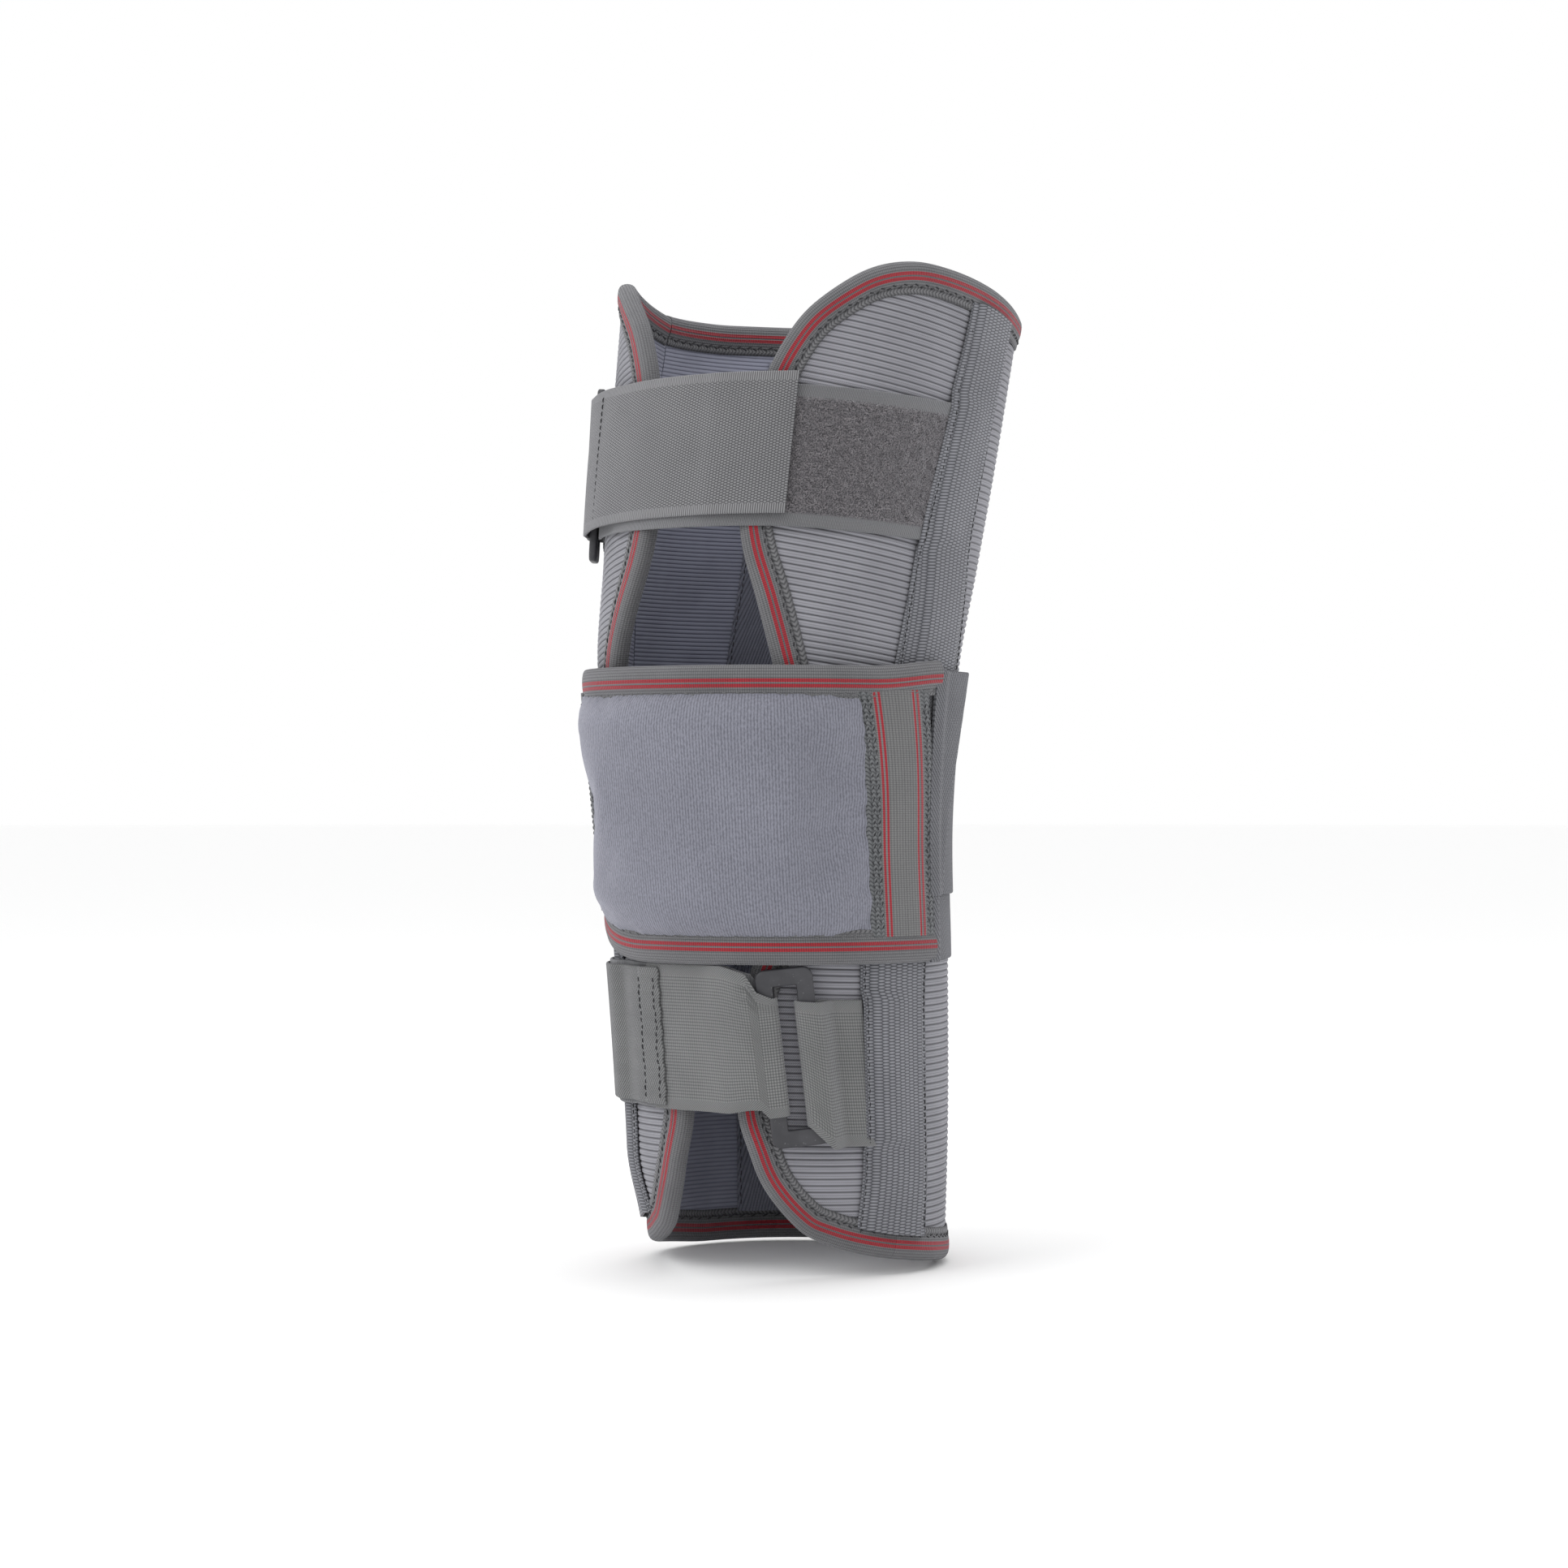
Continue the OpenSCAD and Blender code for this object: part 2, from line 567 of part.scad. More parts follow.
module upper_strap_tail() {
    color("darkgray") strap_layer(
        function (t) curve(upper_tail_z, t), function (t) upper_half(t),
        function (h) beside(upper_ring_at, tail_start, h), function (h) upper_tail_end,
        function (t) 3.25 + 3.65 * ease((-24 - t) / 25) + 0.85 * ease((t - 2) / 5), strap_t);
}

module upper_hook_patch() {
    color("black") strap_layer(
        function (t) curve(upper_tail_z, t) - 2, function (t) strap_w / 2 - 5,
        function (h) 9, function (h) 27, function (t) 3.2, 0.7);
}

module lower_strap() {
    color("gray") strap_layer(
        function (t) curve(lower_strap_z, t), function (t) full_half(t),
        function (h) lower_anchor, function (h) beside(lower_ring_at, -base_start, h),
        function (t) lower_lay(t) + 0.9 * ease((t - 4) / 14), strap_t);
}

module lower_strap_tail() {
    color("darkgray") strap_layer(
        function (t) curve(lower_strap_z, t), function (t) full_half(t),
        function (h) lower_tail_end, function (h) beside(lower_ring_at, -tail_start, h),
        function (t) 3.4 + 4.9 * ease((t + 2) / 22), strap_t);
}

// The hook tab is sewn over the tail's end and grips the strap's loop face beyond it.
module lower_hook_tab() {
    color("dimgray") strap_layer(
        function (t) curve(lower_strap_z, t), function (t) strap_w / 2 - 0.5,
        function (h) hook_tab_span[0], function (h) hook_tab_span[1],
        function (t) max(lower_lay(t) + strap_t + 0.4, 4.9 * ease((t + 29) / 5)), strap_t);
}

translate([0, centre_y, 0]) back_panel();
translate([0, centre_y, 0]) right_front_panel();
translate([0, centre_y, 0]) left_front_panel();
translate([0, centre_y, 0]) right_edge_binding();
translate([0, centre_y, 0]) left_edge_binding();
translate([0, centre_y, 0]) top_rear_binding();
translate([0, centre_y, 0]) bottom_rear_binding();
translate([0, centre_y, 0]) right_side_splint();
translate([0, centre_y, 0]) left_side_splint();
translate([0, centre_y, 0]) right_side_tape();
translate([0, centre_y, 0]) left_side_tape();
translate([0, centre_y, 0]) right_rear_splint();
translate([0, centre_y, 0]) left_rear_splint();
translate([0, centre_y, 0]) right_rear_tape();
translate([0, centre_y, 0]) left_rear_tape();
translate([0, centre_y, 0]) lower_knee_band();
translate([0, centre_y, 0]) upper_knee_band();
translate([0, centre_y, 0]) pad_lining();
translate([0, centre_y, 0]) pad_foam();
translate([0, centre_y, 0]) pad_cover();
translate([0, centre_y, 0]) pad_top_hem();
translate([0, centre_y, 0]) pad_bottom_hem();
translate([0, centre_y, 0]) pad_right_hem();
translate([0, centre_y, 0]) pad_left_hem();
translate([0, centre_y, 0]) pad_hook_patch();
translate([0, centre_y, 0]) upper_strap();
translate([0, centre_y, 0]) upper_strap_fold();
translate([0, centre_y, 0]) upper_strap_tail();
translate([0, centre_y, 0]) upper_hook_patch();
translate([0, centre_y, 0]) upper_ring();
translate([0, centre_y, 0]) upper_ring_tab();
translate([0, centre_y, 0]) lower_strap();
translate([0, centre_y, 0]) lower_strap_fold();
translate([0, centre_y, 0]) lower_strap_tail();
translate([0, centre_y, 0]) lower_hook_tab();
translate([0, centre_y, 0]) lower_ring();
translate([0, centre_y, 0]) lower_ring_tab();
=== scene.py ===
import math

import bpy
import numpy as np
from mathutils import Matrix, Vector


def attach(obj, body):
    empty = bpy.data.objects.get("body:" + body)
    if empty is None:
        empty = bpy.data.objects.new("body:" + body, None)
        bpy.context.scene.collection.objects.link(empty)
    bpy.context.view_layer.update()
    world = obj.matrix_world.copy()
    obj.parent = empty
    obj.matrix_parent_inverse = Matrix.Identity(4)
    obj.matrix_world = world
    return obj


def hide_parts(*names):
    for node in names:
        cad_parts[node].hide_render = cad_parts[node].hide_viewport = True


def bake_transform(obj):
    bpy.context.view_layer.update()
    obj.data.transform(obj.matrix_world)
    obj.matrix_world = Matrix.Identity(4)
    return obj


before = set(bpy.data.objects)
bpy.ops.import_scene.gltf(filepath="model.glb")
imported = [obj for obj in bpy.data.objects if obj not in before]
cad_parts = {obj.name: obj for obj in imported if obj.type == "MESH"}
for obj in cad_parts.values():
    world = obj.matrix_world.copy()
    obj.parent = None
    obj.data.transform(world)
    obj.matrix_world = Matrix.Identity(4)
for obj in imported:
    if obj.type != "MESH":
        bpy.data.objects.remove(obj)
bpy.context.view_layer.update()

# The looks of the long knee brace. Surface points are given as in the CAD source: an angle t
# round the leg in degrees (0 at the front, positive towards +X), a height z and a distance d
# out from the laminate's face, both in millimetres.

scene = bpy.context.scene
MM = 0.001
SIDES = (("right", 1), ("left", -1))   # as seen from the front, by the sign of t


# ---- The leg form and the cut of the wrap ----

CENTRE_Y = -18.4                       # centres the part's box on the origin
# Half width, half depth and middle of the leg form against height, the front edge's angle
# against height, and the top and bottom edges' height against angle from the front.
HALF_WIDTH = [(0, 57), (52, 58.5), (110, 60), (165, 62), (221, 66), (257, 68), (300, 70.5),
              (362, 73)]
HALF_DEPTH = [(0, 57.5), (52, 59.5), (110, 62), (165, 64), (221, 71.5), (257, 76), (300, 80.5),
              (362, 85.5)]
MIDDLE_Y = [(0, 9.5), (52, 9), (110, 5), (165, -1), (221, -0.6), (257, 8.5), (300, 19), (348, 31),
            (362, 34)]
FRONT_EDGE = [(14, 35), (22, 26), (33, 18), (44, 14), (58, 10), (85, 11), (112, 18), (140, 31),
              (165, 36), (190, 35), (221, 29), (242, 23), (257, 18), (269, 15.5), (285, 14.5),
              (300, 15.5), (325, 20), (340, 25.5), (347, 29.5), (351, 33)]
TOP_EDGE = [(33, 351), (37, 355.4), (46, 362.6), (58, 366), (70, 364.8), (88, 360.6)]
TOP_EDGE_RIGHT = [(112, 354.6), (125, 355.5), (141, 358.6), (180, 361)]
TOP_EDGE_LEFT = [(112, 359.8), (125, 360.4), (141, 360.8), (180, 361)]
BOTTOM_EDGE = [(35, 14), (48, 9.3), (65, 5.4), (82, 3), (100, 1), (112, 0), (180, 0)]
SIDE_TAPE_AT = [(0, 71), (100, 70), (160, 77), (221, 87), (266, 84), (340, 90), (362, 91)]
SIDE_TAPE_HALF = [(0, 15.8), (110, 15.8), (221, 21), (266, 16.5), (362, 15)]
LEFT_LEAD = [(0, 9), (90, 8), (150, 0), (362, 0)]
BRACE_H = 366
CORNER_TUCK = 8
LAMINATE_T = 4
BINDING_W, BINDING_T = 9.5, 1
SPLINT_W, SPLINT_T = 20, 1.8
SPLINT_LAY = 0.4
TAPE_T = 1
GAP = 0.3
REAR_TAPE_AT, REAR_TAPE_HALF = 142, 15
BAND_T = 1.1
PAD_LOW, PAD_MIDDLE, PAD_HIGH = 113.6, 165, 218
PAD_END, PAD_SIDE_HEM, PAD_BASE = 84, 58, 4.6
STRAP_W, STRAP_T = 51, 1.2
RING_H, RING_BAR, RING_T = 64.5, 6.2, 2.8
UPPER_RING = (-58.5, 293.6, 0, 3.9, 18.4)      # angle, height, turn, distance out and width
LOWER_RING = (30.3, 80.1, -6.5, 4.9, 20.8)
LOOP_R = 2.8                       # of the middle of the cloth in a loop round a ring's bar


def curve(points, x):
    """A smooth curve through (x, y) points, flat beyond its ends."""
    xs, ys = np.array(points, float).T
    x = np.clip(np.asarray(x, float), xs[0], xs[-1])
    slopes = np.empty_like(ys)
    slopes[1:-1] = (ys[2:] - ys[:-2]) / (xs[2:] - xs[:-2])
    slopes[0] = (ys[1] - ys[0]) / (xs[1] - xs[0])
    slopes[-1] = (ys[-1] - ys[-2]) / (xs[-1] - xs[-2])
    i = np.clip(np.searchsorted(xs, x, side="right") - 1, 0, len(xs) - 2)
    w = xs[i + 1] - xs[i]
    u = (x - xs[i]) / w
    return ((2 * u**3 - 3 * u**2 + 1) * ys[i] + (u**3 - 2 * u**2 + u) * slopes[i] * w
            + (3 * u**2 - 2 * u**3) * ys[i + 1] + (u**3 - u**2) * slopes[i + 1] * w)


def ease(x):
    c = np.clip(x, 0, 1)
    return c * c * (3 - 2 * c)


def half_x(z):
    return curve(HALF_WIDTH, z)


def half_y(z):
    return curve(HALF_DEPTH, z)


def radius(z):
    return np.sqrt(half_x(z) * half_y(z))


def arc(mm, z):
    """The angle that an arc of the surface takes at a height."""
    return np.degrees(mm / radius(z))


def from_front(t):
    return np.where(np.abs(t) > 180, 360 - np.abs(t), np.abs(t))


def tuck(t, z):
    return CORNER_TUCK * ease((42 - np.asarray(z, float)) / 42) * ease((95 - from_front(t)) / 50)


def leg(t, z, d):
    """The point at an angle, a height and a distance out, in metres in the row frame."""
    t, z, d = np.broadcast_arrays(np.asarray(t, float), np.asarray(z, float), np.asarray(d, float))
    a = np.radians(t)
    hx, hy = half_x(z), half_y(z)
    nx, ny = np.sin(a) / hx, -np.cos(a) / hy
    length = np.hypot(nx, ny)
    out = (d - tuck(t, z)) / length
    x = hx * np.sin(a) + out * nx
    y = curve(MIDDLE_Y, z) - hy * np.cos(a) + out * ny + CENTRE_Y
    return np.stack([x, y, z], -1) * MM


def edge_t(z):
    return curve(FRONT_EDGE, z) + arc(BINDING_T, z)


def top_z(t):
    t = np.asarray(t, float)
    away = from_front(t)
    left = (t < 0) | (t > 180)
    return np.where(left, curve(TOP_EDGE + TOP_EDGE_LEFT, away),
                    curve(TOP_EDGE + TOP_EDGE_RIGHT, away)) - BINDING_T


def bottom_z(t):
    return np.maximum(curve(BOTTOM_EDGE, from_front(t)), 0) + BINDING_T


def side_t(z, side):
    return side * (curve(SIDE_TAPE_AT, z) - (curve(LEFT_LEAD, z) if side < 0 else 0))


def side_half(z):
    return arc(curve(SIDE_TAPE_HALF, z), z)


def over_tape(t, z):
    """How far the side tapes lift what lies over them."""
    t, z = np.broadcast_arrays(np.asarray(t, float), np.asarray(z, float))
    middle = np.where(t < 0, side_t(z, -1), side_t(z, 1))
    away = np.abs(t - middle) - side_half(z)
    rise = SPLINT_T + TAPE_T + 2 * GAP
    return np.where(np.abs(t) > 150, 0, rise * ease(1 - away / 7))


def on_leg(place):
    """Local X runs round the leg, -Y points out and Z runs up, as the rings are drawn."""
    t, z, turn = place[:3]
    n = Vector(leg(t, z, 1) - leg(t, z, 0)).normalized()
    rise = Vector(leg(t, z + 20, 0) - leg(t, z - 20, 0))
    return (Matrix.Translation(Vector(leg(t, z, 0)))
            @ Matrix.Rotation(math.atan2(n.x, -n.y), 4, "Z")
            @ Matrix.Rotation(math.atan2(rise.dot(n), rise.z), 4, "X")
            @ Matrix.Rotation(math.radians(turn), 4, "Y"))


def loop_x(place):
    """How far from a ring's middle the cloth round its bar begins to turn."""
    return place[4] / 2 - RING_BAR - GAP + 2.2


def placed(matrix, points):
    """Local points in millimetres, carried by a matrix into the row frame."""
    m = np.array(matrix)
    return (np.asarray(points) * MM) @ m[:3, :3].T + m[:3, 3]


def from_ring(place, x, y):
    """A point level with a ring's middle, in the ring's local coordinates."""
    return Vector(placed(on_leg(place), [(x, y, 0)])[0])


def beside(place, dx, h):
    """The angle, at a height h above a ring's middle, of a line dx to its side that is
    parallel to its bars."""
    t, z, turn = place[:3]
    n = Vector(leg(t, z, 1) - leg(t, z, 0)).normalized()
    rise = Vector(leg(t, z + 20, 0) - leg(t, z - 20, 0))
    drift = rise.dot(Vector((-n.y, n.x, 0))) / rise.z
    return t + arc(dx + h * (math.tan(math.radians(turn)) - drift), z)


# ---- Mesh builders ----

def closed(quads, count):
    """Front faces, the same faces behind them, and the rim between."""
    edges = np.concatenate([quads[:, [i, (i + 1) % 4]] for i in range(4)])
    key = edges.min(1).astype(np.int64) * count + edges.max(1)
    _, index, uses = np.unique(key, return_inverse=True, return_counts=True)
    rim = edges[uses[index] == 1]
    sides = np.stack([rim[:, 1], rim[:, 0], rim[:, 0] + count, rim[:, 1] + count], 1)
    return np.concatenate([quads, quads[:, ::-1] + count, sides])


def mesh_object(name, points, quads, cloth, sharp=50):
    """An object from points in metres, quads, and the cloth's own coordinates in millimetres."""
    used, quads = np.unique(quads, return_inverse=True)
    quads = quads.reshape(-1, 4)
    points, cloth = points[used], cloth[used]
    a, b, c, d = points[quads].transpose(1, 0, 2)
    if (np.cross(b, c) * a).sum() + (np.cross(c, d) * a).sum() < 0:
        quads = quads[:, ::-1]
    mesh = bpy.data.meshes.new(name)
    mesh.vertices.add(len(points))
    mesh.vertices.foreach_set("co", points.astype(np.float32).ravel())
    mesh.loops.add(quads.size)
    mesh.loops.foreach_set("vertex_index", quads.astype(np.int32).ravel())
    mesh.polygons.add(len(quads))
    mesh.polygons.foreach_set("loop_start", np.arange(0, quads.size, 4, dtype=np.int32))
    mesh.polygons.foreach_set("use_smooth", np.ones(len(quads), bool))
    mesh.update(calc_edges=True)
    mesh.attributes.new("cloth", "FLOAT_VECTOR", "POINT")
    mesh.attributes["cloth"].data.foreach_set("vector", cloth.astype(np.float32).ravel())
    mesh.set_sharp_from_angle(angle=math.radians(sharp))
    obj = bpy.data.objects.new(name, mesh)
    scene.collection.objects.link(obj)
    return obj


def thick_grid(name, front, back, uv, keep=None, sharp=50):
    """A closed solid between two grids of points. uv holds the cloth's coordinates at each."""
    n, m = front.shape[:2]
    ids = np.arange(n * m).reshape(n, m)
    quads = np.stack([ids[:-1, :-1], ids[:-1, 1:], ids[1:, 1:], ids[1:, :-1]], -1).reshape(-1, 4)
    if keep is not None:
        quads = quads[keep.ravel()]
    points = np.concatenate([front.reshape(-1, 3), back.reshape(-1, 3)])
    flat = uv.reshape(-1, 2)
    cloth = np.concatenate([np.c_[flat, np.ones(len(flat))], np.c_[flat, np.zeros(len(flat))]])
    return mesh_object(name, points, closed(quads, n * m), cloth, sharp)


def across(half, inner, edge=0.5):
    """Places across a strip from -half to half, and the share of its thickness at each, so
    that its selvedges are rounded."""
    inside = np.linspace(-half + edge, half - edge, inner)
    places = np.concatenate([[-half, -half + 0.35 * edge], inside, [half - 0.35 * edge, half]])
    share = np.concatenate([[0.3, 0.8], np.ones(inner), [0.8, 0.3]])
    return places, share


def ribbon(name, middle, thick, uv, share, pile=0):
    """A cloth strip round a grid of middle points, stations along by places across. pile is
    what stands up on its face at each point, in millimetres."""
    along = np.gradient(middle, axis=0)
    over = np.gradient(middle, axis=1)
    n = np.cross(over, along)
    n /= np.maximum(np.linalg.norm(n, axis=2, keepdims=True), 1e-12)
    half = np.full(middle.shape[:2], thick * MM / 2) * share[None, :]
    half[[0, -1]] *= 0.55
    face = half + pile * MM
    return thick_grid(name, middle + n * face[..., None], middle - n * half[..., None], uv)


def pairs(a, b):
    """Two grids side by side, as the coordinates of a cloth."""
    return np.stack(np.broadcast_arrays(a, b), -1)


def lengths(points):
    """The distance run along a polyline, in millimetres."""
    steps = np.linalg.norm(np.diff(points, axis=0), axis=1)
    return np.concatenate([[0], np.cumsum(steps)]) / MM


def resampled(points, spacing):
    """A polyline of (t, z) points at even steps along the surface, with its corners eased."""
    points = np.array(points, float)
    run = lengths(leg(points[:, 0], points[:, 1], 0))
    even = np.linspace(0, run[-1], max(int(run[-1] / spacing), 2) + 1)
    path = np.stack([np.interp(even, run, points[:, i]) for i in range(2)], 1)
    for _ in range(3):
        path[1:-1] = (path[:-2] + 2 * path[1:-1] + path[2:]) / 4
    return path


def inward(path):
    """The step to the left of a (t, z) path at each point, as seen from outside, per mm."""
    r = np.radians(radius(path[:, 1]))
    step = np.gradient(path, axis=0)
    run = np.stack([step[:, 0] * r, step[:, 1]], 1)
    run /= np.linalg.norm(run, axis=1, keepdims=True)
    return np.stack([-run[:, 1] / r, run[:, 0]], 1)


def beside_path(path, s, d):
    """Points at distances s to the left of a path and d out. s and d go across it."""
    step = inward(path)
    t = path[:, None, 0] + step[:, None, 0] * np.asarray(s)[None, :]
    z = path[:, None, 1] + step[:, None, 1] * np.asarray(s)[None, :]
    return leg(t, z, np.atleast_2d(d))


def folded_edge(name, path, outer, under, thin=1, base=0):
    """A tape folded over an edge. outer and under are the (s, d) points of its two faces, and
    thin is the share of its height above base that it keeps at each point of the path."""
    outer, under = np.array(outer, float), np.array(under, float)
    thin = np.broadcast_to(thin, len(path))[:, None]
    front = beside_path(path, outer[:, 0], base + (outer[:, 1] - base) * thin)
    back = beside_path(path, under[:, 0], base + (under[:, 1] - base) * thin)
    run = lengths(leg(path[:, 0], path[:, 1], 0))
    round_it = np.concatenate([[0], np.cumsum(np.linalg.norm(np.diff(outer, axis=0), axis=1))])
    fold = round_it[np.argmin(outer[:, 0])]
    uv = pairs(run[:, None], (round_it - fold)[None, :])
    return thick_grid(name, front, back, uv)


def stitches(name, lines, pitch=2.4, length=2.0, thick=0.55, lean=22):
    """Sewn rows: short rounded threads along (points, outward directions) polylines."""
    ring = np.array([(0, 0.25, -0.9), (0.1, 0.8, -0.25), (0.32, 1, 0.35), (0.68, 1, 0.35),
                     (0.9, 0.8, -0.25), (1, 0.25, -0.9)])
    around = np.radians(np.arange(6) * 60)
    last = 6 * (len(ring) - 1)
    faces = [(k + j, k + (j + 1) % 6, k + 6 + (j + 1) % 6, k + 6 + j)
             for k in range(0, last, 6) for j in range(6)]
    faces += [(3, 2, 1, 0), (5, 4, 3, 0)]
    faces += [(last, last + 1, last + 2, last + 3), (last, last + 3, last + 4, last + 5)]
    each = len(ring) * len(around)
    all_points, all_faces, count = [], [], 0
    for points, out in lines:
        run = lengths(points)
        starts = np.arange(pitch / 2, run[-1] - pitch, pitch)
        at, to, n = [np.stack([np.interp(where, run, line[:, i]) for i in range(3)], 1)
                     for where, line in ((starts, points), (starts + length, points),
                                         (starts, out))]
        x = (to - at) / np.linalg.norm(to - at, axis=1, keepdims=True)
        y = np.cross(n, x)
        turn = np.radians(lean) * np.where(np.arange(len(x)) % 2, 1, -1)[:, None]
        x, y = x * np.cos(turn) + y * np.sin(turn), y * np.cos(turn) - x * np.sin(turn)
        r = thick / 2 * MM
        thread = [at + x * (share * length * MM) + n * (lift * r)
                  + y * (math.cos(a) * wide * r) + n * (math.sin(a) * wide * r)
                  for share, wide, lift in ring for a in around]
        all_points.append(np.stack(thread, 1).reshape(-1, 3))
        ids = np.arange(len(at))[:, None, None] * each + np.array(faces)[None]
        all_faces.append(ids.reshape(-1, 4) + count)
        count += len(at) * each
    points = np.concatenate(all_points)
    return mesh_object(name, points, np.concatenate(all_faces), points / MM, 70)


def seam(t, z, d):
    """A line of stitches on the surface: its points, and the way out at each."""
    points = leg(t, z, d)
    return points, (leg(t, z, np.asarray(d) + 1) - points) / MM


def path_seam(path, s, d):
    """A line of stitches beside a path."""
    d = np.broadcast_to(d, len(path))[:, None]
    low = beside_path(path, [s], d)[:, 0]
    high = beside_path(path, [s], d + 1)[:, 0]
    return low, (high - low) / MM


# ---- Materials ----

def srgb(r, g, b):
    """A colour given as the eye sees it, 0 to 255, as the shader wants it."""
    return tuple((((c / 255 + 0.055) / 1.055) ** 2.4) for c in (r, g, b)) + (1,)


class Value:
    """A value in a material's nodes, which adds and multiplies as a number does."""

    def __init__(self, graph, socket):
        self.graph, self.socket = graph, socket

    def __add__(self, other):
        return self.graph.math("ADD", self, other)

    def __sub__(self, other):
        return self.graph.math("SUBTRACT", self, other)

    def __rsub__(self, other):
        return self.graph.math("SUBTRACT", other, self)

    def __mul__(self, other):
        return self.graph.math("MULTIPLY", self, other)

    def __truediv__(self, other):
        return self.graph.math("DIVIDE", self, other)

    def __abs__(self):
        return self.graph.math("ABSOLUTE", self)

    __radd__, __rmul__ = __add__, __mul__


class Graph:
    """The nodes of one material. Patterns are heights from 0 to 1 over the cloth's own
    coordinates: u and v in millimetres, and w, which is 1 on the face and 0 on the back.
    Pieces that aren't cloth take the object's coordinates, also in millimetres."""

    def __init__(self, name, cloth=True):
        self.material = bpy.data.materials.new(name)
        self.material.use_nodes = True
        self.tree = self.material.node_tree
        self.tree.nodes.clear()
        if cloth:
            self.vector = self.node("ShaderNodeAttribute", attribute_name="cloth").outputs["Vector"]
        else:
            whole = self.node("ShaderNodeTexCoord").outputs["Object"]
            self.vector = self.stretched(whole, (1 / MM, 1 / MM, 1 / MM))
        split = self.node("ShaderNodeSeparateXYZ")
        self.tree.links.new(self.vector, split.inputs[0])
        self.u, self.v, self.w = [Value(self, part) for part in split.outputs]

    def node(self, kind, **settings):
        made = self.tree.nodes.new(kind)
        for key, value in settings.items():
            setattr(made, key, value)
        return made

    def feed(self, socket, value):
        if isinstance(value, Value):
            self.tree.links.new(value.socket, socket)
        else:
            socket.default_value = value

    def value(self, kind, inputs, output=0, **settings):
        """The output of a new node, fed at the inputs numbered."""
        made = self.node(kind, **settings)
        for index, value in inputs:
            self.feed(made.inputs[index], value)
        return Value(self, made.outputs[output])

    def math(self, operation, *values):
        return self.value("ShaderNodeMath", enumerate(values), operation=operation)

    def mix(self, share, a, b):
        return self.value("ShaderNodeMix", ((0, share), (6, a), (7, b)), 2, data_type="RGBA")

    def step(self, x, low, high):
        """0 up to low, 1 from high, and smooth between them."""
        return self.value("ShaderNodeMapRange", ((0, x), (1, low), (2, high)),
                          interpolation_type="SMOOTHSTEP")

    def between(self, x, low, high, soft=0.12):
        return self.step(x, low - soft, low + soft) * (1 - self.step(x, high - soft, high + soft))

    def ridge(self, x, pitch, power=1.0):
        """Round ridges across x."""
        return self.math("POWER", abs(self.math("SINE", x * (math.pi / pitch))), power)

    def stretched(self, vector, factors):
        made = self.node("ShaderNodeVectorMath", operation="MULTIPLY")
        self.tree.links.new(vector, made.inputs[0])
        made.inputs[1].default_value = factors
        return made.outputs[0]

    def noise(self, size, detail=2.0, stretch=None):
        made = self.node("ShaderNodeTexNoise")
        vector = self.stretched(self.vector, stretch) if stretch else self.vector
        self.tree.links.new(vector, made.inputs["Vector"])
        made.inputs["Scale"].default_value = 1 / size
        made.inputs["Detail"].default_value = detail
        return Value(self, made.outputs[0])

    def brick(self, wide, high):
        """Columns of short dashes, each column half a dash off its neighbours."""
        column = self.math("FLOOR", self.u / wide)
        shift = self.math("FLOORED_MODULO", column, 2.0) * (high / 2)
        return self.ridge(self.u, wide, 0.35) * self.ridge(self.v + shift, high)

    def knit(self, u, v, wide, high, lean):
        """Columns of small V stitches."""
        side = abs(self.math("FRACT", u / wide) - 0.5)
        return self.ridge(u, wide, 0.4) * self.ridge(v + side * (2 * lean), high, 0.7)

    def stripes(self, place, lines):
        """Where the red lines of a tape run."""
        red = self.between(place, *lines[0])
        for low, high in lines[1:]:
            red = self.math("MAXIMUM", red, self.between(place, low, high))
        return red

    def worn(self, colour, size=22, amount=0.16):
        """Slow changes of shade, as handling and dye leave them."""
        shade = self.step(self.noise(size, 3.0), 0.3, 0.7)
        return self.mix(shade, self.mix(amount, colour, (0.02, 0.02, 0.025, 1)), colour)

    def finish(self, colour, height, depth, roughness=0.92, sheen=0.3, specular=0.25, metallic=0.0,
               tint=(0.8, 0.8, 0.85, 1)):
        """The material, with its pattern standing up by depth in millimetres."""
        bump = self.node("ShaderNodeBump")
        bump.inputs["Strength"].default_value = 1.0
        bump.inputs["Distance"].default_value = depth * MM
        self.feed(bump.inputs["Height"], height)
        shader = self.node("ShaderNodeBsdfPrincipled")
        for socket, value in {"Normal": Value(self, bump.outputs[0]), "Base Color": colour,
                              "Roughness": roughness, "Specular IOR Level": specular,
                              "Metallic": metallic, "Sheen Weight": sheen,
                              "Sheen Roughness": 0.5, "Sheen Tint": tint}.items():
            self.feed(shader.inputs[socket], value)
        out = self.node("ShaderNodeOutputMaterial")
        self.tree.links.new(shader.outputs[0], out.inputs[0])
        return self.material


RIB = 2.4
RED = srgb(162, 40, 50)


def laminate_material():
    g = Graph("ribbed_laminate")
    lean = g.math("FLOORED_MODULO", g.math("FLOOR", g.v / (RIB / 2)), 2.0) * 2.0 - 1.0
    threads = g.ridge(g.u + g.v * lean, 0.8, 0.7)
    weave = g.ridge(g.v, RIB, 0.5) * g.ridge(g.v, RIB / 2, 0.25) * (threads * 0.5 + 0.5)
    lining = g.ridge(g.v, 1.6, 0.6)
    face = g.mix(weave, srgb(56, 56, 60), srgb(164, 164, 171))
    # The back face's bluish grey lining colours are partly the lining's own tone and partly painted
    # light: they are lightened to stand in for light reaching the inside of the brace.
    back = g.mix(lining, srgb(104, 106, 120), srgb(150, 152, 168))
    height = g.w * (weave * 0.8 + g.noise(0.35) * 0.2) + (1 - g.w) * lining
    return g.finish(g.worn(g.mix(g.w, back, face)), height, 0.25)


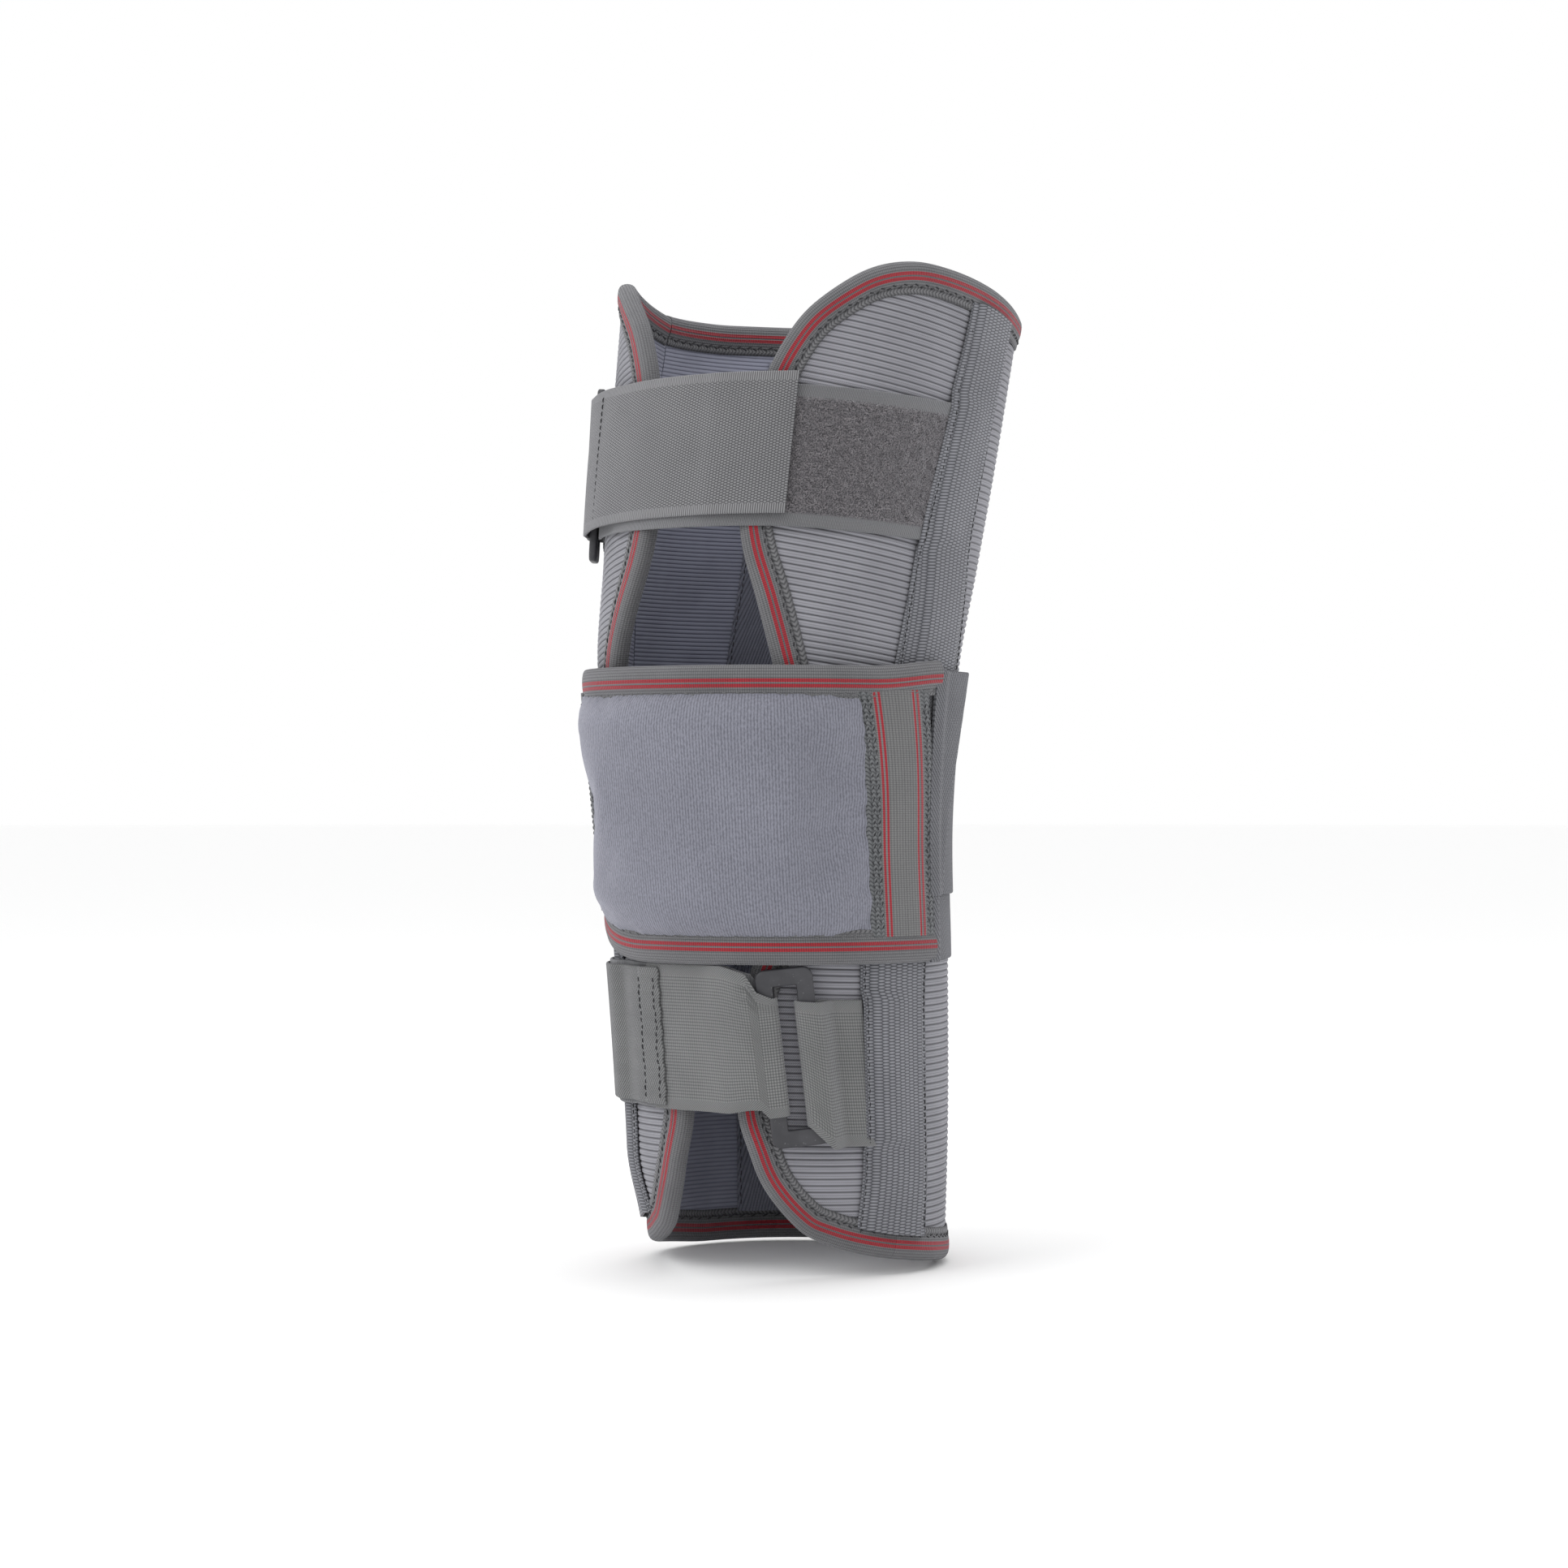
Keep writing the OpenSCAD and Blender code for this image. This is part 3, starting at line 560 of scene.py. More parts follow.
def side_tape_material():
    g = Graph("side_tape")
    dash = g.brick(2.5, 1.15)
    colour = g.mix(dash, srgb(58, 59, 63), srgb(142, 143, 149))
    return g.finish(g.worn(colour), dash + g.noise(0.4) * 0.35, 0.3)


def binding_material(name, lines, sewn):
    """A ribbed tape with red lines, and a zigzag of sewing along its inner edge from sewn on."""
    g = Graph(name)
    place = abs(g.v)
    knurl = g.ridge(g.u, 0.75, 0.6)
    weave = (g.ridge(place, 1.1, 0.5) * 0.75 + 0.25) * (knurl * 0.6 + 0.4)
    red = g.stripes(place, lines)
    zigzag = g.knit(place, g.u, 2.4, 1.7, 1.0)
    edge = g.step(place, sewn - 0.2, sewn + 0.2)
    pattern = weave * (1 - edge) + zigzag * edge
    plain = g.mix(pattern, srgb(48, 48, 50), srgb(116, 116, 118))
    colour = g.mix(red, plain, g.mix(knurl, srgb(96, 22, 30), RED))
    return g.finish(g.worn(colour, 18, 0.14), pattern + red * 0.25, 0.35)


def twill_material(name, dark, light, pitch, slope):
    g = Graph(name)
    weave = g.ridge(g.u + g.v * slope, pitch, 0.7) * (g.ridge(g.v, 0.62, 0.8) * 0.4 + 0.6)
    return g.finish(g.worn(g.mix(weave, dark, light)), weave, 0.32)


def plush_material():
    g = Graph("pad_plush")
    fluff = g.noise(0.45, 3.0, (1.0, 0.45, 1.0)) * 0.7 + g.ridge(g.u, 0.95, 0.8) * 0.3
    colour = g.mix(g.step(fluff, 0.3, 0.75), srgb(94, 95, 104), srgb(130, 131, 142))
    return g.finish(g.worn(colour, 30, 0.1), fluff, 0.35, sheen=0.5, tint=(0.75, 0.75, 0.85, 1))


def pile_material():
    """Loop pile with flat borders on the face, and a knitted back."""
    g = Graph("loop_pile")
    curl = g.noise(0.55, 4.0)
    heather = g.step(g.noise(2.6, 4.0), 0.38, 0.62)
    pile = g.mix(g.step(curl, 0.3, 0.72), srgb(36, 35, 38), srgb(130, 126, 129))
    pile = g.mix(heather * 0.45, pile, srgb(72, 70, 73))
    edge = g.step(abs(g.v), 20.3, 21.4)
    flat = g.ridge(g.u, 0.62, 0.8)
    border = g.mix(flat, srgb(70, 70, 72), srgb(116, 117, 119))
    back = g.mix(g.brick(1.05, 1.0), srgb(76, 77, 78), srgb(126, 127, 128))
    colour = g.mix(g.w, back, g.mix(edge, pile, border))
    return g.finish(colour, curl * (1 - edge) + flat * edge * 0.3, 0.9, sheen=0.5)


def tail_material():
    """A knitted strap end, twilled near its ring, with combed borders and loops on its back."""
    g = Graph("strap_tail")
    twilled = 1 - g.step(g.u, 24, 38)
    diagonal = g.ridge(g.u + g.v * 0.9, 1.15, 0.8)
    middle = g.brick(1.12, 1.0) * (1 - twilled * 0.7) + diagonal * (twilled * 0.5)
    edge = g.step(abs(g.v), 21.8, 22.3)
    weave = middle * (1 - edge) + g.ridge(g.u, 0.8, 0.8) * edge
    face = g.mix(weave, srgb(58, 58, 60), srgb(138, 138, 140))
    back = g.mix(g.step(g.noise(0.8, 3.0), 0.38, 0.64), srgb(60, 58, 62), srgb(112, 110, 112))
    return g.finish(g.worn(g.mix(g.w, back, face), 25, 0.1), weave, 0.3)


def knit_strap_material():
    g = Graph("knit_strap")
    edge = g.step(abs(g.v), 21.6, 22.0)
    stitch = g.ridge(g.u, 0.95, 0.5) * g.ridge(g.v, 1.1, 0.5)
    weave = stitch * (1 - edge) + g.ridge(g.u + g.v, 0.8, 0.7) * (edge * 0.9)
    colour = g.mix(weave, srgb(70, 71, 71), srgb(130, 131, 131))
    return g.finish(g.worn(colour, 25, 0.12), weave, 0.26)


def hook_material():
    g = Graph("hook_tape")
    hooks = g.brick(1.1, 1.3)
    colour = g.mix(hooks, srgb(20, 20, 22), srgb(60, 60, 64))
    return g.finish(colour, hooks, 0.6, roughness=0.55, sheen=0.05, specular=0.4)


def end_tape_material():
    """The wide tape down the pad's end: u runs across it from its inner edge."""
    g = Graph("pad_end_tape")
    red = g.stripes(g.u, [(4.3, 5.1), (5.8, 6.7), (18.9, 19.8), (20.8, 21.8)])
    knurl = g.ridge(g.v, 0.8, 0.7)
    weave = (g.ridge(g.u, 1.2, 0.6) * 0.7 + 0.3) * (knurl * 0.45 + 0.55)
    sewn = g.math("MAXIMUM", g.between(g.u, -3, 3.5, 0.2), g.between(g.u, 22.7, 31, 0.2))
    zigzag = g.knit(g.u, g.v, 2.0, 1.5, 0.9)
    plain = g.mix(sewn, g.mix(weave, srgb(56, 56, 57), srgb(122, 122, 122)),
                  g.mix(zigzag, srgb(56, 58, 60), srgb(112, 114, 116)))
    colour = g.mix(red, plain, g.mix(knurl, srgb(126, 28, 38), RED))
    return g.finish(g.worn(colour, 20, 0.1), weave * (1 - sewn) + zigzag * sewn, 0.32)


def thread_material(name, tone):
    g = Graph(name)
    twist = g.ridge(g.u + g.v + g.w, 0.35)
    colour = g.mix(twist, srgb(*[c * 0.55 for c in tone]), srgb(*tone))
    return g.finish(colour, twist, 0.1, roughness=0.7, sheen=0.2)


def lining_material():
    g = Graph("pad_lining")
    stitch = g.knit(g.u, g.v, 1.3, 1.1, 0.6)
    return g.finish(g.worn(g.mix(stitch, srgb(64, 64, 68), srgb(104, 104, 108))), stitch, 0.3)


def ring_material():
    g = Graph("ring_plastic", cloth=False)
    grain = g.noise(0.45, 3.0)
    colour = g.mix(g.step(g.noise(9, 3.0), 0.35, 0.65), srgb(50, 50, 54), srgb(60, 60, 64))
    speck = g.step(g.noise(1.1), 0.68, 0.74)
    colour = g.mix(speck * 0.5, colour, srgb(122, 122, 124))
    return g.finish(colour, grain, 0.05, roughness=grain * 0.14 + 0.42, sheen=0.0, specular=0.45)


def splint_material():
    g = Graph("aluminium", cloth=False)
    brushed = g.noise(0.5, 2.0, (1, 1, 0.03))
    colour = g.mix(brushed, (0.62, 0.62, 0.64, 1), (0.82, 0.82, 0.84, 1))
    return g.finish(colour, brushed, 0.03, roughness=brushed * 0.2 + 0.28, sheen=0.0, specular=0.5,
                    metallic=1.0)


def floor_material():
    g = Graph("studio_floor", cloth=False)
    return g.finish((0.97, 0.97, 0.97, 1), g.noise(40), 0.01, roughness=0.8, sheen=0.0)


LAMINATE = laminate_material()
SIDE_TAPE = side_tape_material()
# The inner tapes' bluish grey twill colours are partly the tape's own tone and partly painted
# light: they are lightened to stand in for light reaching the inside of the brace.
INNER_TAPE_WITH_PAINTED_LIGHT = twill_material("inner_tape", srgb(82, 84, 94), srgb(132, 134, 146), 1.4, 0.3)
BINDING = binding_material("edge_binding", [(6.1, 7.4), (8.0, 9.3)], 11.6)
PAD_HEM = binding_material("pad_hem", [(5.8, 7.1), (7.7, 9.0)], 12.4)
KNEE_BAND = twill_material("knee_band", srgb(42, 43, 46), srgb(111, 112, 117), 1.5, 0.62)
PLUSH = plush_material()
PILE = pile_material()
TAIL = tail_material()
KNIT_STRAP = knit_strap_material()
HOOK_TAB = twill_material("hook_tab", srgb(56, 57, 57), srgb(126, 127, 127), 1.1, 0.8)
HOOK = hook_material()
END_TAPE = end_tape_material()
DARK_THREAD = thread_material("dark_thread", (44, 44, 47))
GREY_THREAD = thread_material("grey_thread", (120, 120, 122))
LINING = lining_material()
RING = ring_material()
ALUMINIUM = splint_material()


def piece(obj, material, body, slot, *nodes):
    """Gives a piece its material and the body it rides on, and hides the parts it stands for. Its
    slot is not used.
    """
    obj.data.materials.clear()
    obj.data.materials.append(material)
    if body:
        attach(obj, body)
    if nodes:
        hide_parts(*nodes)
    return obj


def cloth_of(mesh):
    """A mesh's cloth coordinates."""
    cloth = np.zeros(len(mesh.vertices) * 3, np.float32)
    mesh.attributes["cloth"].data.foreach_get("vector", cloth)
    return cloth.reshape(-1, 3)


def sew(name, lines, thread, body, slot, *shape):
    """Rows of stitches, as a piece of their own."""
    return piece(stitches(name + "_stitches", lines, *shape), thread, body, slot)


def declare(obj):
    """Works out a cloth piece's flat area from its own coordinates, and keeps nothing."""
    mesh = obj.data
    cloth = cloth_of(mesh)
    quads = np.zeros(len(mesh.loops), np.int32)
    mesh.loops.foreach_get("vertex_index", quads)
    corners = cloth[quads.reshape(-1, 4)]
    corners = corners[corners[..., 2].min(1) > 0.5][..., :2]
    one, two = corners[:, 2] - corners[:, 0], corners[:, 3] - corners[:, 1]
    area = float(np.abs(one[:, 0] * two[:, 1] - one[:, 1] * two[:, 0]).sum() / 2) * MM**2


# ---- The ribbed panels ----

FLAP_END = 0.4                         # from a panel's cut edge to its binding's fold
RIB_STEPS = 6                          # rows of faces in a rib
RIB_DEPTH = 0.55


def rib_lean(z):
    """How far a rib of a front panel drops for each millimetre towards the back."""
    return curve([(0, 0.02), (110, 0.04), (200, 0.13), (240, 0.165), (362, 0.175)], z)


def ribbed_panel(name, t_at, columns, lean):
    """A laminate panel. t_at(z, share) is the angle at a share of its width."""
    rows = np.arange(-12, 420, RIB / RIB_STEPS)[:, None]
    share = np.linspace(0, 1, columns + 1)[None, :]
    z = rows + 0 * share
    for _ in range(4):
        z = rows - lean * rib_lean(z) * np.radians(from_front(t_at(z, share))) * radius(z)
    free = z.copy()
    for _ in range(4):
        t = t_at(z, share)
        low, high = bottom_z(t) + FLAP_END, top_z(t) - FLAP_END
        z = np.clip(free, low, high)
    t = t_at(z, share)
    inside = (free > low) & (free < high)
    keep = inside[:-1, :-1] | inside[1:, :-1] | inside[:-1, 1:] | inside[1:, 1:]
    cord = np.abs(np.sin(math.pi * rows / RIB)) ** 0.7
    outer = 0.05 - RIB_DEPTH * (1 - cord) + 0 * t
    inner = -LAMINATE_T + 0 * t
    uv = pairs(np.radians(t) * radius(z), rows)
    return thick_grid(name, leg(t, z, outer), leg(t, z, inner), uv, keep, sharp=80)


def front_t(side):
    def at(z, share):
        edge = edge_t(np.clip(z, 14.4, 350.6)) + arc(FLAP_END, z)
        return side * (edge + (np.abs(side_t(z, side)) - arc(GAP, z) - edge) * share)
    return at


def back_t(z, share):
    start = side_t(z, 1) + arc(GAP, z)
    end = 360 + side_t(z, -1) - arc(GAP, z)
    return start + (end - start) * share


panels = {
    "right_front_panel": ribbed_panel("right_front_ribbed_panel", front_t(1), 12, 1),
    "left_front_panel": ribbed_panel("left_front_ribbed_panel", front_t(-1), 12, 1),
    "back_panel": ribbed_panel("back_ribbed_panel", back_t, 40, 0),
}
for node, panel in panels.items():
    piece(panel, LAMINATE, "wrap", "laminate", node)
    declare(panel)


# ---- The edge bindings ----

# The outer half of a binding's section, and the cloth's other face under it, from its inner
# edge to the middle of the laminate: (distance in from the edge, distance out).
OUTER_FACE = [(11.2, 0.3), (10.9, 0.62), (9.6, 0.8), (8.7, 0.78), (8.1, 0.72), (7.4, 0.95),
              (6.6, 1.3), (5.4, 1.5), (3.8, 1.6), (2.2, 1.55), (0.9, 1.3), (-0.1, 0.75),
              (-0.75, -0.1), (-1.05, -1.1), (-1.15, -2.0)]
OUTER_UNDER = [(11.1, 0.12), (10.8, 0.14), (9.5, 0.14), (8.6, 0.14), (8.0, 0.14), (7.3, 0.14),
               (6.5, 0.14), (5.3, 0.14), (3.8, 0.14), (2.2, 0.14), (1.2, 0.14), (0.6, 0.1),
               (0.3, -0.6), (0.15, -1.3), (0.1, -2.0)]


def mirrored_face(points):
    """The other half of a folded tape's section, about the laminate's middle."""
    return points + [(s, -LAMINATE_T - d) for s, d in points[-2::-1]]


def binding(name, points, node):
    path = resampled(points, 2.4)
    obj = folded_edge(name, path, mirrored_face(OUTER_FACE), mirrored_face(OUTER_UNDER))
    piece(obj, BINDING, "wrap", "binding", node)
    sewn = sew(name, [path_seam(path, 8.0, 0.86), path_seam(path, 8.3, -4.95)],
               DARK_THREAD, "wrap", "binding")
    declare(obj)


def edge_path(side):
    """Round a front panel's edge from the side tape's top to its foot."""
    top = [(t, top_z(t)) for t in np.linspace(abs(side_t(BRACE_H, side)), 36, 24)]
    front = [(edge_t(z), z) for z in np.linspace(351, 14, 110)]
    low = [(t, bottom_z(t)) for t in np.linspace(38, abs(side_t(0, side)), 16)]
    path = [(side * t, z) for t, z in top + front + low]
    return path if side > 0 else path[::-1]


def rear_path(edge, z):
    ends = [abs(side_t(z, 1)), 360 - abs(side_t(z, -1))]
    angles = np.linspace(ends[1], ends[0], 90) if z else np.linspace(ends[0], ends[1], 90)
    return [(t, edge(t)) for t in angles]


for word, side in SIDES:
    binding(f"{word}_edge_tape", edge_path(side), f"{word}_edge_binding")
binding("top_rear_edge_tape", rear_path(top_z, BRACE_H), "top_rear_binding")
binding("bottom_rear_edge_tape", rear_path(bottom_z, 0), "bottom_rear_binding")


# ---- Splint pockets ----

POCKET_LOW, POCKET_HIGH = 13.0, 354
SEAM_IN = 1.3                          # from a pocket tape's edge to its seam


def tape_lift(t, z, side):
    """How far a side tape's front edge is lifted by what is sewn in under it."""
    upper = ease((z - 262) / 4) * ease((319 - z) / 4)
    lower = ease((z - 45) / 4) * ease((103 - z) / 4)
    front = ease(0.5 + (np.abs(side_t(z, side)) - np.abs(t)) / side_half(z))
    if side > 0:
        return front * (1.6 * upper + 2.6 * lower)
    return front * 2.6 * upper


def pocket_places(half):
    """Places across a pocket tape, and its share of full thickness at each."""
    splint = SPLINT_W / 2
    one = [0.8, 2.4, splint * 0.5, splint - 2.2, splint - 0.8, splint, splint + 0.7, splint + 1.4,
           splint + 2.1, splint + 2.8, splint + 3.5, half - 0.5, half - 0.17, half]
    places = np.array([-k for k in one[::-1]] + [0] + one)
    edge = [0.3, 0.8]
    share = np.array(edge + [1] * (len(places) - 4) + edge[::-1])
    return places, share


def splint_swell(k):
    """The tape's rise over its splint, with soft shoulders, and flat over the metal."""
    return ease((SPLINT_W / 2 + 3.6 - np.abs(k)) / 3.8)


def side_pocket(name, node, side):
    rows = np.linspace(0, 1, 110)
    z0 = POCKET_LOW + (POCKET_HIGH - BINDING_W - POCKET_LOW) * rows
    front, back, uv = [], [], []
    for v, zc in zip(rows, z0):
        places, share = pocket_places(float(curve(SIDE_TAPE_HALF, zc)))
        t = side_t(zc, side) + np.degrees(places / radius(zc))
        low, high = bottom_z(t) + BINDING_W - 1.5, top_z(t) - BINDING_W + 1.5
        z = low + (high - low) * v
        ripple = 0.12 * np.sin(z / 7 + places / 5) * (1 - splint_swell(places))
        under = (GAP + (SPLINT_T + SPLINT_LAY) * splint_swell(places) + tape_lift(t, z, side)
                 + ripple)
        slack = TAPE_T * (1 - share) / 2
        front.append(leg(t, z, under + TAPE_T - slack))
        back.append(leg(t, z, under + slack))
        uv.append(np.stack([places, z], 1))
    obj = thick_grid(name, np.array(front), np.array(back), np.array(uv))
    piece(obj, SIDE_TAPE, "wrap", "webbing_tape", node)
    lines = []
    for place in (-1, 1):
        z = np.linspace(13.5, 346, 220)
        half = curve(SIDE_TAPE_HALF, z)
        t = side_t(z, side) + place * arc(half - SEAM_IN, z)
        lines.append(seam(t, z, GAP + TAPE_T + tape_lift(t, z, side) + 0.02))
    sewn = sew(name, lines, DARK_THREAD, "wrap", "webbing_tape", 2.4, 1.9, 0.45, 8)
    declare(obj)


def rear_pocket(name, node, side):
    middle = 180 - side * (180 - REAR_TAPE_AT)
    z = np.linspace(11, 346, 90)[:, None]
    places, share = pocket_places(REAR_TAPE_HALF)
    t = middle + np.degrees(places[None, :] / radius(z))
    under = -LAMINATE_T - GAP - (SPLINT_T + GAP) * splint_swell(places)[None, :]
    slack = TAPE_T * (1 - share)[None, :] / 2
    uv = pairs(places[None, :], z)
    obj = thick_grid(name, leg(t, z, under - slack), leg(t, z, under - TAPE_T + slack), uv)
    piece(obj, INNER_TAPE_WITH_PAINTED_LIGHT, "wrap", "inner_tape", node)
    lines = []
    z = np.linspace(12, 345, 200)
    for place in (-1, 1):
        t = middle + place * arc(REAR_TAPE_HALF - SEAM_IN, z)
        points, out = seam(t, z, -LAMINATE_T - GAP - TAPE_T - 0.02)
        lines.append((points, -out))
        lines.append(seam(t, z, 0.0))
    sewn = sew(name, lines, DARK_THREAD, "wrap", "inner_tape", 2.8, 2.1, 0.4, 4)
    declare(obj)


for word, side in SIDES:
    side_pocket(f"{word}_side_pocket_tape", f"{word}_side_tape", side)
    rear_pocket(f"{word}_rear_pocket_tape", f"{word}_rear_tape", side)
    for where in ("side", "rear"):
        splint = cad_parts[f"{word}_{where}_splint"]
        splint.data.materials.clear()
        splint.data.materials.append(ALUMINIUM)


# ---- The knee bands ----

BAND_FROM, BAND_TO = 80.8, 269         # angles at which the bands start and end
STRETCH_FROM, STRETCH_TO = 91, 84.6    # where they stretch when the pad opens


def knee_band(name, node, z0, z1, layer):
    middle, half = (z0 + z1) / 2, (z1 - z0) / 2
    places, share = across(half, 26, 0.8)
    t = np.concatenate([np.linspace(BAND_FROM, 110, 26), np.linspace(112, BAND_TO, 80)])[:, None]
    z = (middle + places)[None, :]
    near = np.where(t > 180, t - 360, t)
    under = 0.15 + layer + over_tape(near, z)
    on_pad = ease((90 - t) / 5)
    under = under + (np.maximum(under, PAD_BASE + 1.5 + 0.5 * layer) - under) * on_pad
    slack = BAND_T * (1 - share)[None, :] / 2
    under, z, t = np.broadcast_arrays(under, z, t)
    uv = np.stack([np.radians(t) * radius(z), z], -1)
    obj = thick_grid(name, leg(t, z, under + BAND_T - slack), leg(t, z, under + slack), uv)
    piece(obj, KNEE_BAND, None, "knee_elastic", node)
    return obj


bands = [knee_band("lower_knee_elastic", "lower_knee_band", 112.5, 192, 0),
         knee_band("upper_knee_elastic", "upper_knee_band", 136.5, PAD_HIGH, BAND_T + 0.15)]
start = Vector(leg(STRETCH_FROM, PAD_MIDDLE, 5))
end = Vector(leg(STRETCH_TO, PAD_MIDDLE, 5))
end.x = start.x
for band in bands:
    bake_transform(band)
    declare(band)


# ---- The patella pad ----

def pad_low(t):
    return PAD_LOW + 9 * ease((-np.asarray(t, float) - 20) / 50)


# A hem's section in two halves, outer and inner, with the cloth's other face under each.
HEM_OUT = [(11.6, 6.9), (11.3, 7.25), (10.2, 7.35), (9.4, 7.2), (8.6, 7.45), (7.4, 7.9),
           (5.6, 8.25), (3.6, 8.25), (1.8, 7.95), (0.4, 7.35), (-0.5, 6.6), (-0.9, 5.8)]
HEM_IN = [(-0.5, 4.9), (0.4, 4.25), (1.8, 3.9), (3.6, 3.75), (5.6, 3.75), (7.4, 3.85), (8.8, 3.95),
          (9.4, 4.2)]
HEM_OUT_UNDER = [(11.5, 6.5), (11.2, 6.4), (10.1, 6.3), (9.3, 6.3), (8.5, 6.4), (7.3, 6.6),
                 (5.5, 6.8), (3.6, 6.8), (1.9, 6.6), (1.0, 6.3), (0.5, 6.1), (0.4, 5.8)]
HEM_IN_UNDER = [(0.5, 5.4), (1.0, 5.1), (1.9, 4.9), (3.6, 4.8), (5.6, 4.8), (7.4, 4.8), (8.8, 4.75),
                (9.3, 4.5)]


def pad_uv(t, z):
    return pairs(np.radians(t) * radius(PAD_MIDDLE), z)


def pulled(t):
    """The share of its height that the pad keeps: its left end is drawn tight round the leg."""
    return 1 - 0.5 * ease((-np.asarray(t, float) - 30) / 25)


def pad_hem(name, node, points):
    path = resampled(points, 2.4)
    thin = pulled(path[:, 0])
    obj = folded_edge(name, path, HEM_OUT + HEM_IN, HEM_OUT_UNDER + HEM_IN_UNDER, thin, 3.75)
    piece(obj, PAD_HEM, "pad", "pad_hem", node)
    sewn = sew(name, [path_seam(path, 9.5, 3.75 + 3.55 * thin)], GREY_THREAD, "pad", "pad_hem")
    declare(obj)


angles = np.linspace(PAD_END - 1.2, -PAD_END, 90)
pad_hem("pad_top_hem_tape", "pad_top_hem",
        [(t, PAD_HIGH + 2.6 * float(ease((t - 58) / 26))) for t in angles])
pad_hem("pad_bottom_hem_tape", "pad_bottom_hem", [(t, float(pad_low(t))) for t in angles[::-1]])


def end_bow(z):
    """How far the pad's end tapes bend in towards its middle near the top, as an angle."""
    return arc(4.6 * (np.maximum(z - 158, 0) / 50) ** 2, PAD_MIDDLE)


END_TAPE_FROM, END_TAPE_TO = -1.6, 27.2


def pad_side_tape(name, node, side):
    """The wide tape down one end of the pad."""
    run = np.linspace(END_TAPE_FROM, END_TAPE_TO, 40)[None, :]
    v = np.linspace(0, 1, 40)[:, None]
    straight = side * (PAD_SIDE_HEM + arc(run, PAD_MIDDLE))
    low, high = pad_low(straight) + 8.8, PAD_HIGH - 7.4
    z = low + (high - low) * v
    run = run + 0 * z
    t = straight - side * end_bow(z)
    edge = ease(run / 1.2 + 1.4) * ease((END_TAPE_TO - run) / 0.8 + 0.4)
    cord = 0.16 * np.abs(np.sin(math.pi * run / 1.2)) * ((run > 7.4) & (run < 18.4))
    groove = 0.35 * np.exp(-((run - 3.7) / 0.6) ** 2) + 0.35 * np.exp(-((run - 22.6) / 0.6) ** 2)
    rise = 0.9 + 1.1 * edge + cord - groove + 0.1 * np.sin(z / 9)
    top = PAD_BASE + 1.0 + rise * (1 if side > 0 else 0.55)
    uv = np.stack([run, z], -1)
    obj = thick_grid(name, leg(t, z, top), leg(t, z, PAD_BASE + 1.0 + 0 * top), uv)
    piece(obj, END_TAPE, "pad", "pad_hem", node)
    z = np.linspace(124 if side > 0 else 134, 208, 80)
    lift = PAD_BASE + (3.0 if side > 0 else 2.1)
    lines = [seam(side * (PAD_SIDE_HEM + arc(mm, PAD_MIDDLE) - end_bow(z)), z, lift)
             for mm in (0.6, 2.6, 24, 26)]
    sewn = sew(name, lines, DARK_THREAD, "pad", "pad_hem", 2.1, 1.8, 0.4, 30)
    declare(obj)


for word, side in SIDES:
    pad_side_tape(f"pad_{word}_end_tape", f"pad_{word}_hem", side)

t = np.linspace(-PAD_END + 0.6, PAD_END - 0.6, 80)[None, :]
v = np.linspace(0, 1, 24)[:, None]
z = pad_low(t) + 8.5 + (PAD_HIGH - 17 - pad_low(t)) * v
lining = thick_grid("pad_lining_cloth", leg(t, z, PAD_BASE + 1.0),
                    leg(t, z, PAD_BASE + 0.05 * np.sin(z)), pad_uv(t, z))
piece(lining, LINING, "pad", "pad_lining", "pad_lining")
declare(lining)

t = np.linspace(-PAD_END + 1, -66, 14)[None, :]
v = np.linspace(0.2, 0.8, 24)[:, None]
z = pad_low(t) + (PAD_HIGH - pad_low(t)) * v
hooks = 0.12 * np.sin(z * 2.3) * np.sin(np.radians(t) * 66 * 2.3)
patch = thick_grid("pad_hook_tape", leg(t, z, PAD_BASE - 0.1), leg(t, z, PAD_BASE - 0.8 + hooks),
                   pad_uv(t, z))
piece(patch, HOOK, "pad", "hook", "pad_hook_patch")
declare(patch)


def cushion_height(t, v):
    """The plush cover's distance out before it is blown up: full in the middle, and low where
    it goes in under the hems."""
    sides = ease((PAD_SIDE_HEM + 1.5 - np.abs(t)) / 17)
    up = ease(v / 0.17) * ease((1 - v) / 0.17)
    return PAD_BASE + 1.1 + (0.9 + 4.6 * sides**0.8 * up**0.8) * pulled(t)


def simulate(obj, pin, frames=20, pressure=4.0, shrink=-0.03):
    """Blows a closed cloth form up against its pinned seams, and keeps the result."""
    group = obj.vertex_groups.new(name="pin")
    for weight in np.unique(pin):
        group.add([int(i) for i in np.nonzero(pin == weight)[0]], float(weight), "REPLACE")
    cloth = obj.modifiers.new("Cloth", "CLOTH")
    cloth.settings.quality = 6
    cloth.settings.mass = 0.3
    cloth.settings.tension_stiffness = 12
    cloth.settings.compression_stiffness = 12
    cloth.settings.shear_stiffness = 6
    cloth.settings.bending_stiffness = 0.8
    cloth.settings.shrink_min = shrink
    cloth.settings.use_pressure = True
    cloth.settings.uniform_pressure_force = pressure
    cloth.settings.vertex_group_mass = "pin"
    cloth.settings.effector_weights.gravity = 0
    cloth.point_cache.frame_start = 1
    cloth.point_cache.frame_end = frames
    for number in range(1, frames + 1):
        scene.frame_set(number)
    evaluated = obj.evaluated_get(bpy.context.evaluated_depsgraph_get())
    points = np.zeros(len(evaluated.data.vertices) * 3, np.float32)
    evaluated.data.vertices.foreach_get("co", points)
    obj.modifiers.remove(cloth)
    scene.frame_set(1)
    return points.reshape(-1, 3).astype(float)


def capped(rest, moved, most):
    """Moves, with none longer than most."""
    step = moved - rest
    size = np.linalg.norm(step, axis=1, keepdims=True)
    return rest + step * np.minimum(1, most / np.maximum(size, 1e-9))


